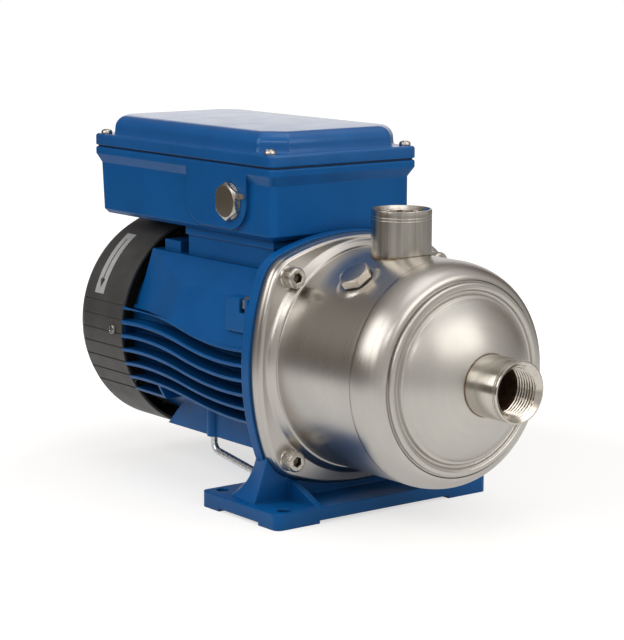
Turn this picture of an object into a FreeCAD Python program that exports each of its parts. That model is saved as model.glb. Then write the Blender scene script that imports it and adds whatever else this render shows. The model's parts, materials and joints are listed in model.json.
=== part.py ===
import FreeCAD, Part
import math
import os
import Sketcher
from FreeCAD import Placement, Rotation, Vector

# Horizontal multistage booster pump, close-coupled to a single-phase motor.
# X runs along the shaft towards the suction port, Z is up, and the side with the cable entry plug faces -Y.
# The origin is the centre of the foot's bolt pattern, on the surface that the foot stands on.

doc = FreeCAD.newDocument("booster_pump")
sheet = doc.addObject("Spreadsheet::Sheet", "sizes")

# Driving dimensions, in millimetres: the places along X and heights are measured from the origin,
# and every radius is measured from its own axis
SIZES = (
    ("shaft_height", 100, "shaft axis above the floor"),
    ("fit_gap", 0.05, "radial clearance between pieces that are assembled by hand"),
    ("running_gap", 0.3, "clearance between the rotor and what it turns in"),
    # Pressed steel casing
    ("barrel_radius", 73, "outside of the barrel"),
    ("sheet_wall", 2, "thickness of the casing sheet"),
    ("adapter_face", 5, "front face of the adapter, where the casing seats"),
    ("casing_flange_depth", 10.5, "casing flange along X"),
    ("flange_half", 83.2, "half width of the rounded square flange"),
    ("flange_side_radius", 163, "bow of the flange's four sides"),
    ("flange_corner_radius", 25, "corners of the flange"),
    ("flange_drop", 2, "middle of the flange below the shaft axis"),
    ("flange_rim_depth", 5.6, "rear step of the flange's rim"),
    ("flange_step", 0.7, "step in the flange's rim"),
    ("flange_edge_round", 2.4, "bevel of the flange's front edge"),
    ("ridge_radius", 77.6, "round ridge at the root of the barrel"),
    ("ridge_height", 5, "height of that ridge"),
    ("ridge_round", 2.6, "bevel of that ridge"),
    ("shoulder_start", 94, "crease where the barrel meets its shoulder"),
    ("shoulder_bulge", 0.7, "how far the shoulder stands out of the barrel"),
    ("shoulder_front", 117.4, "front of the shoulder"),
    ("shoulder_round", 11, "round of the shoulder"),
    ("cap_radius", 62.4, "seam between the shoulder and the end cap"),
    ("bead_inner_radius", 57.1, "inner edge of the end cap's bead"),
    ("bead_height", 2.8, "height of that bead"),
    ("bead_round", 1.5, "bevels of that bead"),
    ("dome_foot_radius", 52, "foot of the dome"),
    ("dome_radius", 71.5, "radius of the dome's sphere"),
    ("dome_centre", 71.4, "centre of the dome's sphere along X"),
    # Threaded ports
    ("port_radius", 19.6, "outside of both ports"),
    ("thread_radius", 15.15, "crests of the female pipe thread"),
    ("thread_length", 19, "length of that thread"),
    ("port_throat_radius", 14.2, "bore behind the thread"),
    ("mouth_radius", 17.6, "countersink at the mouth"),
    ("mouth_depth", 1.8, "depth of that countersink"),
    ("suction_face", 168.7, "front face of the suction port"),
    ("suction_root", 136, "inner end of the suction port"),
    ("discharge_x", 55.2, "axis of the discharge port"),
    ("discharge_top", 101.5, "top of the discharge port above the shaft axis"),
    # Casing screws and plugs
    ("bolt_offset", 60, "casing screws from the middle of the flange, sideways and up"),
    ("bolt_radius", 4, "M8 casing screws"),
    ("bolt_head_radius", 6.7, "head of the casing screws"),
    ("bolt_head_height", 8.4, "head of the casing screws"),
    ("bolt_socket", 6, "hexagon socket across flats"),
    ("bolt_grip", 18, "shank of the casing screws"),
    ("bolt_play", 0.5, "clearance around the shank"),
    ("washer_radius", 7.4, "washers of the casing screws"),
    ("washer_thickness", 1.4, "washers of the casing screws"),
    ("plug_x", 63.2, "fill plug along X"),
    ("plug_angle", 35, "fill plug from the top towards -Y, in degrees"),
    ("drain_x", 44, "drain plug along X"),
    ("drain_angle", -128, "drain plug from the top towards +Y, in degrees"),
    ("plug_flats", 19, "fill and drain plugs across flats"),
    ("plug_head_height", 5.5, "head of the plugs"),
    ("plug_thread_radius", 6.5, "thread of the plugs"),
    ("plug_seal_radius", 10.8, "sealing ring of the plugs"),
    ("plug_seal_thickness", 0.8, "sealing ring of the plugs"),
    ("plug_boss_radius", 13, "boss under the plugs"),
    ("plug_boss_height", 0.3, "boss above the barrel"),
    # Adapter with foot
    ("adapter_thickness", 8, "flange of the adapter"),
    ("adapter_extra", 1.2, "how far the adapter's flange stands out of the casing's"),
    ("housing_radius", 27, "outside of the drive end bearing's housing"),
    ("housing_length", 24, "housing behind the flange"),
    ("spigot_length", 5, "spigot that centres the motor frame"),
    ("foot_length", 84.4, "foot plate along X"),
    ("foot_width", 178.6, "foot plate along Y"),
    ("foot_plate", 8.5, "thickness of the foot plate"),
    ("foot_round", 5, "corners of the foot plate"),
    ("foot_pad_height", 2, "pads under the four corners"),
    ("foot_pad_length", 20.4, "pads along X"),
    ("foot_pad_width", 34.5, "pads along Y"),
    ("foot_hole_end", 8.2, "foot holes from the ends of the plate along X"),
    ("foot_hole_side", 11.8, "foot holes from the sides of the plate along Y"),
    ("foot_hole_radius", 4.5, "holes of the foot"),
    ("pedestal_front", 10, "front wall of the pedestal"),
    ("pedestal_top", 45, "height to which the pedestal rises beside the motor"),
    ("gusset_offset", 51, "gussets from the middle of the foot"),
    ("gusset_thickness", 4.5, "gussets in front of the pedestal"),
    ("gusset_height", 13, "gussets above the plate"),
    ("foot_hollow_wall", 6, "walls round the hollow under the pedestal"),
    # Motor
    ("frame_rear", -156.4, "rear end of the motor frame"),
    ("fin_tip_rear", 77.7, "radius over the fins at the rear end"),
    ("fin_tip_front", 82.4, "radius over the fins at the adapter"),
    ("core_radius", 66, "bottom of the channels between the fins"),
    ("frame_bore", 60, "bore for the stator"),
    ("fin_pitch", 10, "pitch of the fins"),
    ("fin_thickness", 2.3, "thickness of the fins"),
    ("fin_first", 19.2, "highest point of the first fin above the shaft axis"),
    ("fin_wave_radius", 267.7, "radius of both bends of a fin"),
    ("fin_crest_x", -131, "crest of the fins' wave"),
    ("fin_trough_x", -28, "trough of the fins' wave"),
    ("fin_root_x", -6, "where the channels end before the adapter"),
    ("frame_top", 57.5, "flat top of the frame above the shaft axis"),
    ("short_fin_end", -117, "front end of the short lowest fin"),
    ("panel_rear", -151, "rear end of the smooth panel above the fins"),
    ("ramp_half", 53.7, "half width of the panel's top at its rear end"),
    ("ramp_tilt", 21.1, "tilt of the panel's rear sides from upright, in degrees"),
    ("skirt_rear", -146, "rear end of the skirt at its bottom"),
    ("skirt_slant", 19, "slant of the skirt's rear end"),
    ("frame_block", 24, "side blocks of the frame along X"),
    ("frame_screw_y", 73.5, "upper frame studs from the middle"),
    ("frame_screw_z", 38.3, "upper frame studs above the shaft axis"),
    ("frame_screw_radius", 3, "M6 frame studs"),
    ("frame_block_middle", 31, "middle of the side blocks above the shaft axis"),
    ("frame_block_half", 11, "half height of the side blocks"),
    ("frame_notch_rear", -12, "rear wall of the notches for the nuts"),
    ("frame_notch_front", -6, "front wall of the notches, where the nuts seat"),
    ("frame_nut_flats", 9, "nuts of the frame studs across flats"),
    ("frame_nut_height", 5, "nuts of the frame studs"),
    ("skirt_half", 45, "half width of the skirt under the frame"),
    ("skirt_bottom", 67.5, "underside of the skirt below the shaft axis"),
    ("neck_rear", -112, "rear wall of the neck under the terminal box"),
    ("neck_root", 8, "tab and neck sunk below the top of the frame"),
    ("tab_rear", 29, "rear face of the tab behind the neck"),
    ("tab_front", 10, "front face of that tab behind the neck"),
    ("tab_below_neck", 12.5, "top of that tab below the top of the neck"),
    ("opening_rear", 12, "way for the leads in front of the neck's rear wall"),
    ("opening_front", 16, "way for the leads behind the neck's front wall"),
    ("neck_front", -14, "front wall of the neck"),
    ("neck_half", 50, "half width of the neck"),
    ("neck_lip", 1.5, "lip of the neck"),
    ("neck_lip_height", 6, "height of that lip"),
    ("neck_top", 77.5, "top of the neck above the shaft axis"),
    ("stator_length", 70, "laminated core along X"),
    ("stator_rear", -115, "rear end of the laminated core"),
    ("stator_bore", 35, "bore of the stator"),
    ("rotor_overhang", 4, "rotor core past each end of the stator core"),
    ("air_gap", 0.4, "gap between stator and rotor"),
    ("winding_overhang", 16, "winding heads beyond the core"),
    ("winding_inner", 38, "inside of the winding heads"),
    ("winding_outer", 56, "outside of the winding heads"),
    # Shaft and its bearings
    ("shaft_pump_radius", 7, "shaft inside the pump"),
    ("shaft_seat_radius", 8.5, "seat of the drive end bearing"),
    ("shaft_core_radius", 11, "shaft inside the rotor core"),
    ("shaft_rear_radius", 7.5, "seat of the rear bearing"),
    ("shaft_fan_radius", 6, "seat of the fan"),
    ("drive_bearing_radius", 20, "drive end bearing 17 x 40 x 12"),
    ("drive_bearing_width", 12, "drive end bearing"),
    ("drive_bearing_rear", -25, "rear face of the drive end bearing"),
    ("rear_bearing_radius", 17.5, "rear bearing 15 x 35 x 11"),
    ("rear_bearing_width", 11, "rear bearing"),
    ("rear_bearing_front", -153, "front face of the rear bearing"),
    ("fan_front", -176, "front of the fan's hub"),
    ("fan_hub_length", 20, "hub of the fan"),
    ("fan_hub_wall", 6, "wall of the fan's hub"),
    ("fan_disc", 3, "thickness of the fan's disc"),
    ("fan_radius", 68, "tips of the fan"),
    ("fan_blades", 7, "number of fan blades"),
    # Fan cover
    ("cover_rear", -215, "back of the fan cover"),
    ("cover_radius", 77.2, "outside of the fan cover"),
    ("cover_wall", 2, "wall of the fan cover"),
    ("cover_round", 9, "rear edge of the fan cover"),
    ("grille_slots", 24, "slots in the back of the fan cover"),
    ("grille_inner", 22, "inner end of the slots"),
    ("grille_outer", 58, "outer end of the slots"),
    ("grille_slot", 4, "width of the slots"),
    ("groove_width", 0.9, "grooves in the side of the cover"),
    ("groove_depth", 0.6, "depth of those grooves"),
    ("cover_screw_x", -167.5, "cover screws along X"),
    ("cover_screw_shank", 2, "shank of the cover screws"),
    ("cover_screw_length", 8, "shank of the fan cover screws"),
    ("cover_screw_radius", 4, "head of the cover screws"),
    ("label_rear", -195.5, "rear edge of the direction label"),
    ("label_front", -184.5, "front edge of the direction label"),
    ("label_low", 17, "lower end of the label above the horizontal, in degrees"),
    ("label_sweep", 37, "sweep of the label, in degrees"),
    ("label_thickness", 0.3, "thickness of the label"),
    # Hydraulic stack
    ("stage_pitch", 22, "length of one stage"),
    ("stack_rear", 33, "rear end of the stack of stages"),
    ("stage_radius", 62, "outside of the stage casings"),
    ("impeller_radius", 52, "outside of the impellers"),
    ("impeller_width", 8, "width of the impellers"),
    ("eye_radius", 16, "neck of the impellers"),
    ("seal_plate_thickness", 2, "disc that closes the casing"),
    ("seal_plate_radius", 70.7, "disc that closes the casing"),
    ("seal_radius", 13, "mechanical seal"),
    ("seal_length", 26, "mechanical seal"),
    # Terminal box
    ("box_rear", -212.7, "rear wall of the terminal box at its top"),
    ("box_draft", 2.7, "slant of the rear wall of the terminal box"),
    ("box_front", -5.1, "front wall of the terminal box"),
    ("box_half", 58, "half width of the terminal box"),
    ("box_corner", 5, "upright corners of the terminal box"),
    ("box_floor_round", 3, "lower edges of the terminal box"),
    ("box_wall", 3, "walls of the terminal box"),
    ("box_slope", 6.5, "height of the slope under the flange"),
    ("box_flange_base", 120, "underside of the box flange above the shaft axis"),
    ("box_flange", 4.8, "thickness of the box flange"),
    ("box_flange_bevel", 0.8, "upper edge of the box flange"),
    ("lid_rear", -215, "rear edge of the flange and the lid"),
    ("lid_front", -1.7, "front edge of the flange and the lid"),
    ("lid_overhang", 3, "flange and lid beyond the side walls of the box"),
    ("lid_corner", 4, "corners of the flange and the lid"),
    ("gasket_thickness", 1.2, "gasket between box and lid"),
    ("gasket_inset", 1.6, "gasket behind the edge of the flange"),
    ("gasket_width", 4, "width of the gasket"),
    ("lid_flange", 8.2, "flange of the lid"),
    ("lid_flange_round", 1.2, "upper edge of the lid's flange"),
    ("lid_raised_height", 13.7, "raised part above the flange of the lid"),
    ("lid_raised_rear", -208.5, "rear wall of the raised part"),
    ("lid_raised_front", -7.1, "front wall of the raised part"),
    ("lid_raised_inset", 3.5, "raised part behind the sides of the lid"),
    ("lid_corner_cut", 15.1, "corners of the raised part"),
    ("lid_round", 9.5, "upper edges of the raised part"),
    ("lid_wall", 3, "wall of the lid"),
    ("lid_screw_rear", -204.8, "rear lid screws along X"),
    ("lid_screw_front", -9.4, "front lid screws along X"),
    ("lid_screw_inset", 4.5, "lid screws from the sides of the lid"),
    ("lid_screw_boss", 4.5, "half width of the bosses for the lid screws"),
    ("lid_screw_radius", 4, "head of the lid screws"),
    ("lid_screw_shank", 2, "shank of the lid screws"),
    ("lid_screw_depth", 7, "depth of the lid screws in the box"),
    ("box_screw_radius", 2, "screws that hold the box to the neck"),
    ("box_screw_length", 12, "threads of those screws in the neck"),
    ("box_screw_head", 2.5, "heads of those screws"),
    ("box_screw_inset_x", 6, "those screws from the neck's front and rear walls"),
    ("box_screw_inset_y", 7, "those screws from the neck's sides"),
    ("entry_x", -48, "cable entry plug along X"),
    ("entry_height", 100.7, "cable entry plug above the shaft axis"),
    ("entry_flats", 22.5, "cable entry plug across flats"),
    ("entry_head", 3.6, "head of the cable entry plug"),
    ("entry_thread_radius", 10, "thread of the cable entry plug"),
    ("entry_washer", 1, "washer of the cable entry plug"),
    ("entry_tag_start", 6, "tag of that washer from the plug's axis along X"),
    ("entry_tag_end", 17, "end of that tag from the plug's axis along X"),
    ("entry_tag_low", 2.5, "lower edge of that tag above the plug's axis"),
    ("entry_tag_height", 3.5, "height of that tag"),
    ("entry_panel_half", 34.5, "half width of the raised panel round the entries"),
    ("entry_panel_x", -64.5, "middle of that panel"),
    ("entry_panel_bottom", 81.8, "lower edge of that panel above the shaft axis"),
    ("entry_panel_round", 19, "lower corners of that panel"),
    ("capacitor_radius", 17, "run capacitor"),
    ("capacitor_length", 78, "run capacitor"),
    ("capacitor_start", 12, "run capacitor in front of the box's rear wall"),
    ("block_rear", 44, "rear end of the terminal block behind the neck's rear wall"),
    ("block_length", 40, "terminal block along X"),
    ("block_outer", 10, "outer side of the terminal block from the box's outside"),
    ("block_inner", 32, "inner side of the terminal block from the box's outside"),
    ("block_height", 8, "terminal block, and again its ribs"),
    # Wire support under the motor
    ("wire_radius", 2.5, "bright steel wire"),
    ("wire_x", -91.7, "upright legs of the wire"),
    ("wire_half", 43.5, "upright legs from the middle"),
    ("wire_bend", 6, "bends of the wire"),
    ("wire_drop", 9.5, "lower bend of the wire under the skirt"),
    ("wire_front", -22, "middle of the wire's cross run on the foot"),
    ("wire_depth", 16, "how far the legs reach into the frame"),
    ("wire_boss_radius", 5, "bosses that hold the legs"),
)


class Dim:
    """A size with its value and the formula that works it out from the sheet."""

    def __init__(self, value, text):
        self.value = float(value)
        self.text = text

    def __add__(self, other):
        return Dim(self.value + number(other), f"({self.text} + {formula(other)})")

    def __radd__(self, other):
        return self + other

    def __sub__(self, other):
        return Dim(self.value - number(other), f"({self.text} - {formula(other)})")

    def __rsub__(self, other):
        return Dim(number(other) - self.value, f"({formula(other)} - {self.text})")

    def __mul__(self, other):
        return Dim(self.value * number(other), f"({self.text} * {formula(other)})")

    def __rmul__(self, other):
        return self * other

    def __truediv__(self, other):
        return Dim(self.value / number(other), f"({self.text} / {formula(other)})")

    def __neg__(self):
        return Dim(-self.value, f"(0 - {self.text})")


def number(size):
    return size.value if isinstance(size, Dim) else float(size)


def formula(size):
    return size.text if isinstance(size, Dim) else f"{float(size):.6f}"


def sine(angle):
    return Dim(math.sin(math.radians(number(angle))), f"sin({formula(angle)})")


def cosine(angle):
    return Dim(math.cos(math.radians(number(angle))), f"cos({formula(angle)})")


def chord_half(radius, offset):
    """Half the chord that a circle leaves at this distance from its centre."""
    value = math.sqrt(number(radius) ** 2 - number(offset) ** 2)
    return Dim(value, f"sqrt({formula(radius)}^2 - {formula(offset)}^2)")


class Sizes:
    pass


size = Sizes()
for row, (alias, value, meaning) in enumerate(SIZES, start=1):
    sheet.set(f"A{row}", meaning)
    sheet.set(f"B{row}", str(value))
    sheet.setAlias(f"B{row}", alias)
    setattr(size, alias, Dim(value, f"sizes.{alias}"))
doc.recompute()

sub_parts = []


def bind(target, prop, value):
    target.setExpression(prop, formula(value))


def place(item, x=0, y=0, z=0, turn=None):
    if turn is not None:
        item.Placement = Placement(Vector(), turn)
    for axis, value in (("x", x), ("y", y), ("z", z)):
        if isinstance(value, Dim) or value:
            bind(item, f"Placement.Base.{axis}", value)


def keep(item, label):
    """Makes this object one of the finished sub-parts."""
    item.Label = label
    sub_parts.append(item)
    return item


def new_body(name, on_shaft=True):
    """An empty body, with its own origin on the shaft axis or on the floor."""
    item = doc.addObject("PartDesign::Body", name)
    if on_shaft:
        place(item, z=size.shaft_height)
    return item


def new_flange_body(name):
    """An empty body whose origin is in the middle of the rounded square flange."""
    item = new_body(name, on_shaft=False)
    place(item, z=size.shaft_height - size.flange_drop)
    return item


def origin_of(item, role):
    return next(part for part in item.Origin.OriginFeatures if part.Role == role)


# Sketches


def new_sketch(item, plane, offset=0):
    """A sketch on one of the body's own planes. On XZ a positive offset goes towards -Y."""
    sketch = item.newObject("Sketcher::SketchObject", f"{item.Name}_sketch")
    sketch.AttachmentSupport = [(origin_of(item, plane), "")]
    sketch.MapMode = "FlatFace"
    if isinstance(offset, Dim) or offset:
        bind(sketch, "AttachmentOffset.Base.z", offset)
    return sketch


def dimension(sketch, kind, where, value):
    index = sketch.addConstraint(Sketcher.Constraint(kind, *where, number(value)))
    if isinstance(value, Dim):
        sketch.setExpression(f"Constraints[{index}]", value.text)


def fix_point(sketch, line, end, x, y):
    """Ties one point to its two coordinates."""
    for kind, value, axis in (("DistanceX", x, -2), ("DistanceY", y, -1)):
        if isinstance(value, Dim) or value:
            dimension(sketch, kind, (-1, 1, line, end), value)
        else:
            sketch.addConstraint(Sketcher.Constraint("PointOnObject", line, end, axis))


def add_outline(sketch, corners, closed=True):
    """An outline of straight runs. A corner's third value rounds it."""
    count = len(corners)
    spots = [Vector(number(corner[0]), number(corner[1]), 0) for corner in corners]
    arrive, leave, arcs = [], [], []
    for index, corner in enumerate(corners):
        spot = spots[index]
        if len(corner) < 3:
            arrive.append(spot)
            leave.append(spot)
            arcs.append(None)
            continue
        back = (spots[index - 1] - spot).normalize()
        ahead = (spots[(index + 1) % count] - spot).normalize()
        radius = number(corner[2])
        half = back.getAngle(ahead) / 2
        arrive.append(spot + back * (radius / math.tan(half)))
        leave.append(spot + ahead * (radius / math.tan(half)))
        centre = spot + (back + ahead).normalize() * (radius / math.sin(half))
        turns_left = back.cross(ahead).z < 0
        first, last = (arrive[-1], leave[-1]) if turns_left else (leave[-1], arrive[-1])
        angles = [math.atan2(point.y - centre.y, point.x - centre.x) for point in (first, last)]
        if angles[1] < angles[0]:
            angles[1] += 2 * math.pi
        arcs.append((Part.ArcOfCircle(Part.Circle(centre, Vector(0, 0, 1), radius), *angles), turns_left))
    lines = []
    for index in range(count if closed else count - 1):
        lines.append(sketch.addGeometry(Part.LineSegment(leave[index], arrive[(index + 1) % count])))
    if not closed:
        fix_point(sketch, lines[0], 1, corners[0][0], corners[0][1])
        fix_point(sketch, lines[-1], 2, corners[-1][0], corners[-1][1])
    for index, corner in enumerate(corners):
        if not closed and index in (0, count - 1):
            continue
        before, after = lines[index - 1], lines[index]
        if arcs[index] is None:
            sketch.addConstraint(Sketcher.Constraint("Coincident", before, 2, after, 1))
            fix_point(sketch, after, 1, corner[0], corner[1])
            continue
        shape, turns_left = arcs[index]
        arc = sketch.addGeometry(shape)
        joins = (1, 2) if turns_left else (2, 1)
        sketch.addConstraint(Sketcher.Constraint("Tangent", before, 2, arc, joins[0]))
        sketch.addConstraint(Sketcher.Constraint("Tangent", arc, joins[1], after, 1))
        dimension(sketch, "Radius", (arc,), corner[2])
        corner_point = sketch.addGeometry(Part.Point(spots[index]), True)
        sketch.addConstraint(Sketcher.Constraint("PointOnObject", corner_point, 1, before))
        sketch.addConstraint(Sketcher.Constraint("PointOnObject", corner_point, 1, after))
        fix_point(sketch, corner_point, 1, corner[0], corner[1])


def add_rectangle(sketch, low_x, high_x, low_y, high_y, corner=None):
    ends = ((low_x, low_y), (high_x, low_y), (high_x, high_y), (low_x, high_y))
    add_outline(sketch, [end + (() if corner is None else (corner,)) for end in ends])


def add_circle(sketch, x, y, radius):
    centre = Vector(number(x), number(y), 0)
    circle = sketch.addGeometry(Part.Circle(centre, Vector(0, 0, 1), number(radius)))
    fix_point(sketch, circle, 3, x, y)
    dimension(sketch, "Radius", (circle,), radius)


def add_hexagon(sketch, x, y, flats):
    """A hexagon with two corners on the vertical through its centre."""
    corner = flats / math.sqrt(3)
    add_outline(sketch, [
        (x, y + corner),
        (x - flats / 2, y + corner / 2),
        (x - flats / 2, y - corner / 2),
        (x, y - corner),
        (x + flats / 2, y - corner / 2),
        (x + flats / 2, y + corner / 2),
    ])


def add_rounded_square(sketch, half, side_radius, corner_radius, height=0):
    """Four bowed sides joined by tangent corner arcs."""
    side = number(side_radius)
    corner = number(corner_radius)
    middle = Vector(0, number(height), 0)
    shift = side - number(half)
    reach = (-shift + math.sqrt(2 * (side - corner) ** 2 - shift ** 2)) / 2
    swing = math.atan2(reach, reach + shift)
    sides, corners = [], []
    for quarter in range(4):
        angle = quarter * math.pi / 2
        centre = middle - Vector(math.cos(angle), math.sin(angle), 0) * shift
        arc = Part.Circle(centre, Vector(0, 0, 1), side)
        sides.append(sketch.addGeometry(Part.ArcOfCircle(arc, angle - swing, angle + swing)))
        diagonal = angle + math.pi / 4
        centre = middle + Vector(math.cos(diagonal), math.sin(diagonal), 0) * (reach * math.sqrt(2))
        arc = Part.Circle(centre, Vector(0, 0, 1), corner)
        corners.append(sketch.addGeometry(Part.ArcOfCircle(arc, angle + swing, angle + math.pi / 2 - swing)))
    offset = side_radius - half
    for quarter, (x, y) in enumerate(((-offset, 0), (0, -offset), (offset, 0), (0, offset))):
        fix_point(sketch, sides[quarter], 3, x, y if height == 0 else height + y)
        dimension(sketch, "Radius", (sides[quarter],), side_radius)
        dimension(sketch, "Radius", (corners[quarter],), corner_radius)
        sketch.addConstraint(Sketcher.Constraint("Tangent", sides[quarter], 2, corners[quarter], 1))
        sketch.addConstraint(Sketcher.Constraint("Tangent", corners[quarter], 2, sides[(quarter + 1) % 4], 1))


def close_with_lines(sketch, ends, corners):
    """Joins the two ends of an open curve through the given corners."""
    spots = [Vector(number(x), number(y), 0) for x, y in corners]
    (first, first_end), (last, last_end) = ends
    spots = [sketch.getPoint(last, last_end)] + spots + [sketch.getPoint(first, first_end)]
    lines = [sketch.addGeometry(Part.LineSegment(a, b)) for a, b in zip(spots, spots[1:])]
    sketch.addConstraint(Sketcher.Constraint("Coincident", last, last_end, lines[0], 1))
    sketch.addConstraint(Sketcher.Constraint("Coincident", lines[-1], 2, first, first_end))
    for before, after, (x, y) in zip(lines, lines[1:], corners):
        sketch.addConstraint(Sketcher.Constraint("Coincident", before, 2, after, 1))
        fix_point(sketch, after, 1, x, y)


# Features


def add_feature(item, kind, sketch=None):
    made = item.newObject(f"PartDesign::{kind}", f"{item.Name}_{kind.lower()}")
    if sketch is not None:
        made.Profile = sketch
    return made


def revolve(item, corners, kind="Revolution", angle=360):
    """Turns an outline of (x, radius) corners about the body's X axis."""
    sketch = new_sketch(item, "XZ_Plane")
    add_outline(sketch, corners)
    made = add_feature(item, kind, sketch)
    made.ReferenceAxis = (sketch, ["H_Axis"])
    bind(made, "Angle", angle)
    return made


def pad(item, sketch, length, symmetric=False, backwards=False):
    made = add_feature(item, "Pad", sketch)
    if symmetric:
        made.SideType = "Symmetric"
    made.Reversed = backwards
    bind(made, "Length", length)
    return made


def pocket(item, sketch, length=None, symmetric=False, backwards=False):
    """Cuts a sketch out, all the way through where no length is given."""
    made = add_feature(item, "Pocket", sketch)
    if symmetric:
        made.SideType = "Symmetric"
    made.Reversed = backwards
    if length is None:
        made.Type = "ThroughAll"
    else:
        bind(made, "Length", length)
    return made


def repeat_round(item, original, axis, count):
    made = add_feature(item, "PolarPattern")
    made.Originals = [original]
    made.Axis = (origin_of(item, axis), [""])
    made.Angle = 360
    bind(made, "Occurrences", count)
    item.Tip = made
    return made


def repeat_in_line(item, original, axis, length, count, backwards=False):
    made = add_feature(item, "LinearPattern")
    made.Originals = [original]
    made.Direction = (origin_of(item, axis), [""])
    made.Reversed = backwards
    bind(made, "Length", length)
    made.Occurrences = count
    item.Tip = made
    return made


def mirror(item, original, plane):
    made = add_feature(item, "Mirrored")
    made.Originals = [original]
    made.MirrorPlane = (origin_of(item, plane), [""])
    item.Tip = made
    return made


def round_edges(item, base, radius, wanted, kind="Fillet"):
    """Rounds the edges of the last feature whose middle point passes the test."""
    doc.recompute()
    names = []
    for index, edge in enumerate(base.Shape.Edges, start=1):
        middle = edge.valueAt((edge.FirstParameter + edge.LastParameter) / 2)
        if wanted(middle, edge):
            names.append(f"Edge{index}")
    made = item.newObject(f"PartDesign::{kind}", f"{item.Name}_{kind.lower()}")
    made.Base = (base, names)
    bind(made, "Radius" if kind == "Fillet" else "Size", radius)
    return made


def bevel_edges(item, base, size_of_bevel, wanted):
    return round_edges(item, base, size_of_bevel, wanted, kind="Chamfer")


def near(first, second):
    return abs(first - number(second)) < 0.01


def turned_part(label, corners):
    """A sub-part turned about the shaft axis from one outline."""
    item = new_body(label)
    revolve(item, corners)
    return keep(item, label)


# Pressed steel casing

flange_front = size.adapter_face + size.casing_flange_depth
barrel_inner = size.barrel_radius - size.sheet_wall
shoulder_outer = size.barrel_radius + size.shoulder_bulge


def plug_place(item, x, angle, radius):
    """Puts a piece on the barrel with its own Z axis pointing away from the shaft."""
    item.Placement = Placement(Vector(), Rotation(Vector(1, 0, 0), number(angle)))
    bind(item, "Placement.Rotation.Angle", angle)
    bind(item, "Placement.Base.x", x)
    bind(item, "Placement.Base.y", -(radius * sine(angle)))
    bind(item, "Placement.Base.z", size.shaft_height + radius * cosine(angle))


def bolt_places():
    """The casing screws, seen along X from the middle of the flange."""
    sides = (1, -1)
    return [(size.bolt_offset * side_y, size.bolt_offset * side_z) for side_y in sides for side_z in sides]


def make_casing():
    flange = new_flange_body("casing_flange")
    sketch = new_sketch(flange, "YZ_Plane", size.adapter_face)
    add_rounded_square(sketch, size.flange_half, size.flange_side_radius, size.flange_corner_radius)
    pad(flange, sketch, size.flange_rim_depth)
    sketch = new_sketch(flange, "YZ_Plane", size.adapter_face + size.flange_rim_depth)
    add_rounded_square(
        sketch,
        size.flange_half - size.flange_step,
        size.flange_side_radius - size.flange_step,
        size.flange_corner_radius - size.flange_step,
    )
    front = pad(flange, sketch, size.casing_flange_depth - size.flange_rim_depth)
    bevel_edges(flange, front, size.flange_edge_round, lambda middle, edge: near(middle.x, flange_front))
    ridge_front = flange_front + size.ridge_height
    body = new_body("casing_blank")
    revolve(body, [
        (size.adapter_face, 0),
        (size.adapter_face, size.ridge_radius),
        (ridge_front - size.ridge_round, size.ridge_radius),
        (ridge_front, size.ridge_radius - size.ridge_round),
        (ridge_front, size.barrel_radius),
        (size.shoulder_start, size.barrel_radius),
        (size.shoulder_front, shoulder_outer, size.shoulder_round),
        (size.shoulder_front, size.cap_radius),
        (size.shoulder_front, 0),
    ])
    inner_front = size.shoulder_front - size.sheet_wall
    revolve(body, [
        (size.adapter_face - 1, 0),
        (size.adapter_face - 1, barrel_inner),
        (size.shoulder_front - size.shoulder_round, barrel_inner),
        (inner_front, size.cap_radius),
        (size.shoulder_front + 1, size.cap_radius),
        (size.shoulder_front + 1, 0),
    ], kind="Groove")
    seats = new_flange_body("bolt_seats")
    for start, depth, radius in (
        (size.adapter_face - 1, size.casing_flange_depth + 1, size.bolt_radius + size.bolt_play),
        (flange_front, size.ridge_height + 1, size.washer_radius + size.running_gap),
    ):
        sketch = new_sketch(seats, "YZ_Plane", start)
        for y, z in bolt_places():
            add_circle(sketch, y, z, radius)
        pad(seats, sketch, depth)
    sketch = new_sketch(body, "XY_Plane")
    add_circle(sketch, size.discharge_x, 0, size.port_throat_radius)
    pocket(body, sketch, backwards=True)
    fused = doc.addObject("Part::MultiFuse", "casing_with_bosses")
    shapes = [flange, body]
    for name, x, angle in plug_places():
        boss = doc.addObject("Part::Cylinder", f"{name}_boss")
        bind(boss, "Radius", size.plug_boss_radius)
        bind(boss, "Height", size.plug_boss_height + 3)
        plug_place(boss, x, angle, size.barrel_radius - 3)
        shapes.append(boss)
    fused.Shapes = shapes
    casing = doc.addObject("Part::Cut", "pump_casing")
    casing.Base = fused
    holes = doc.addObject("Part::MultiFuse", "plug_holes")
    tools = [seats]
    for name, x, angle in plug_places():
        hole = doc.addObject("Part::Cylinder", f"{name}_hole")
        bind(hole, "Radius", size.plug_thread_radius)
        bind(hole, "Height", 14)
        plug_place(hole, x, angle, size.barrel_radius - 8)
        tools.append(hole)
    inside = doc.addObject("Part::Cylinder", "barrel_inside")
    bind(inside, "Radius", barrel_inner)
    bind(inside, "Height", size.shoulder_start - size.adapter_face + 1)
    place(inside, x=size.adapter_face - 1, z=size.shaft_height, turn=Rotation(Vector(0, 1, 0), 90))
    tools.append(inside)
    holes.Shapes = tools
    casing.Tool = holes
    return keep(casing, "pump_casing")


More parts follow.
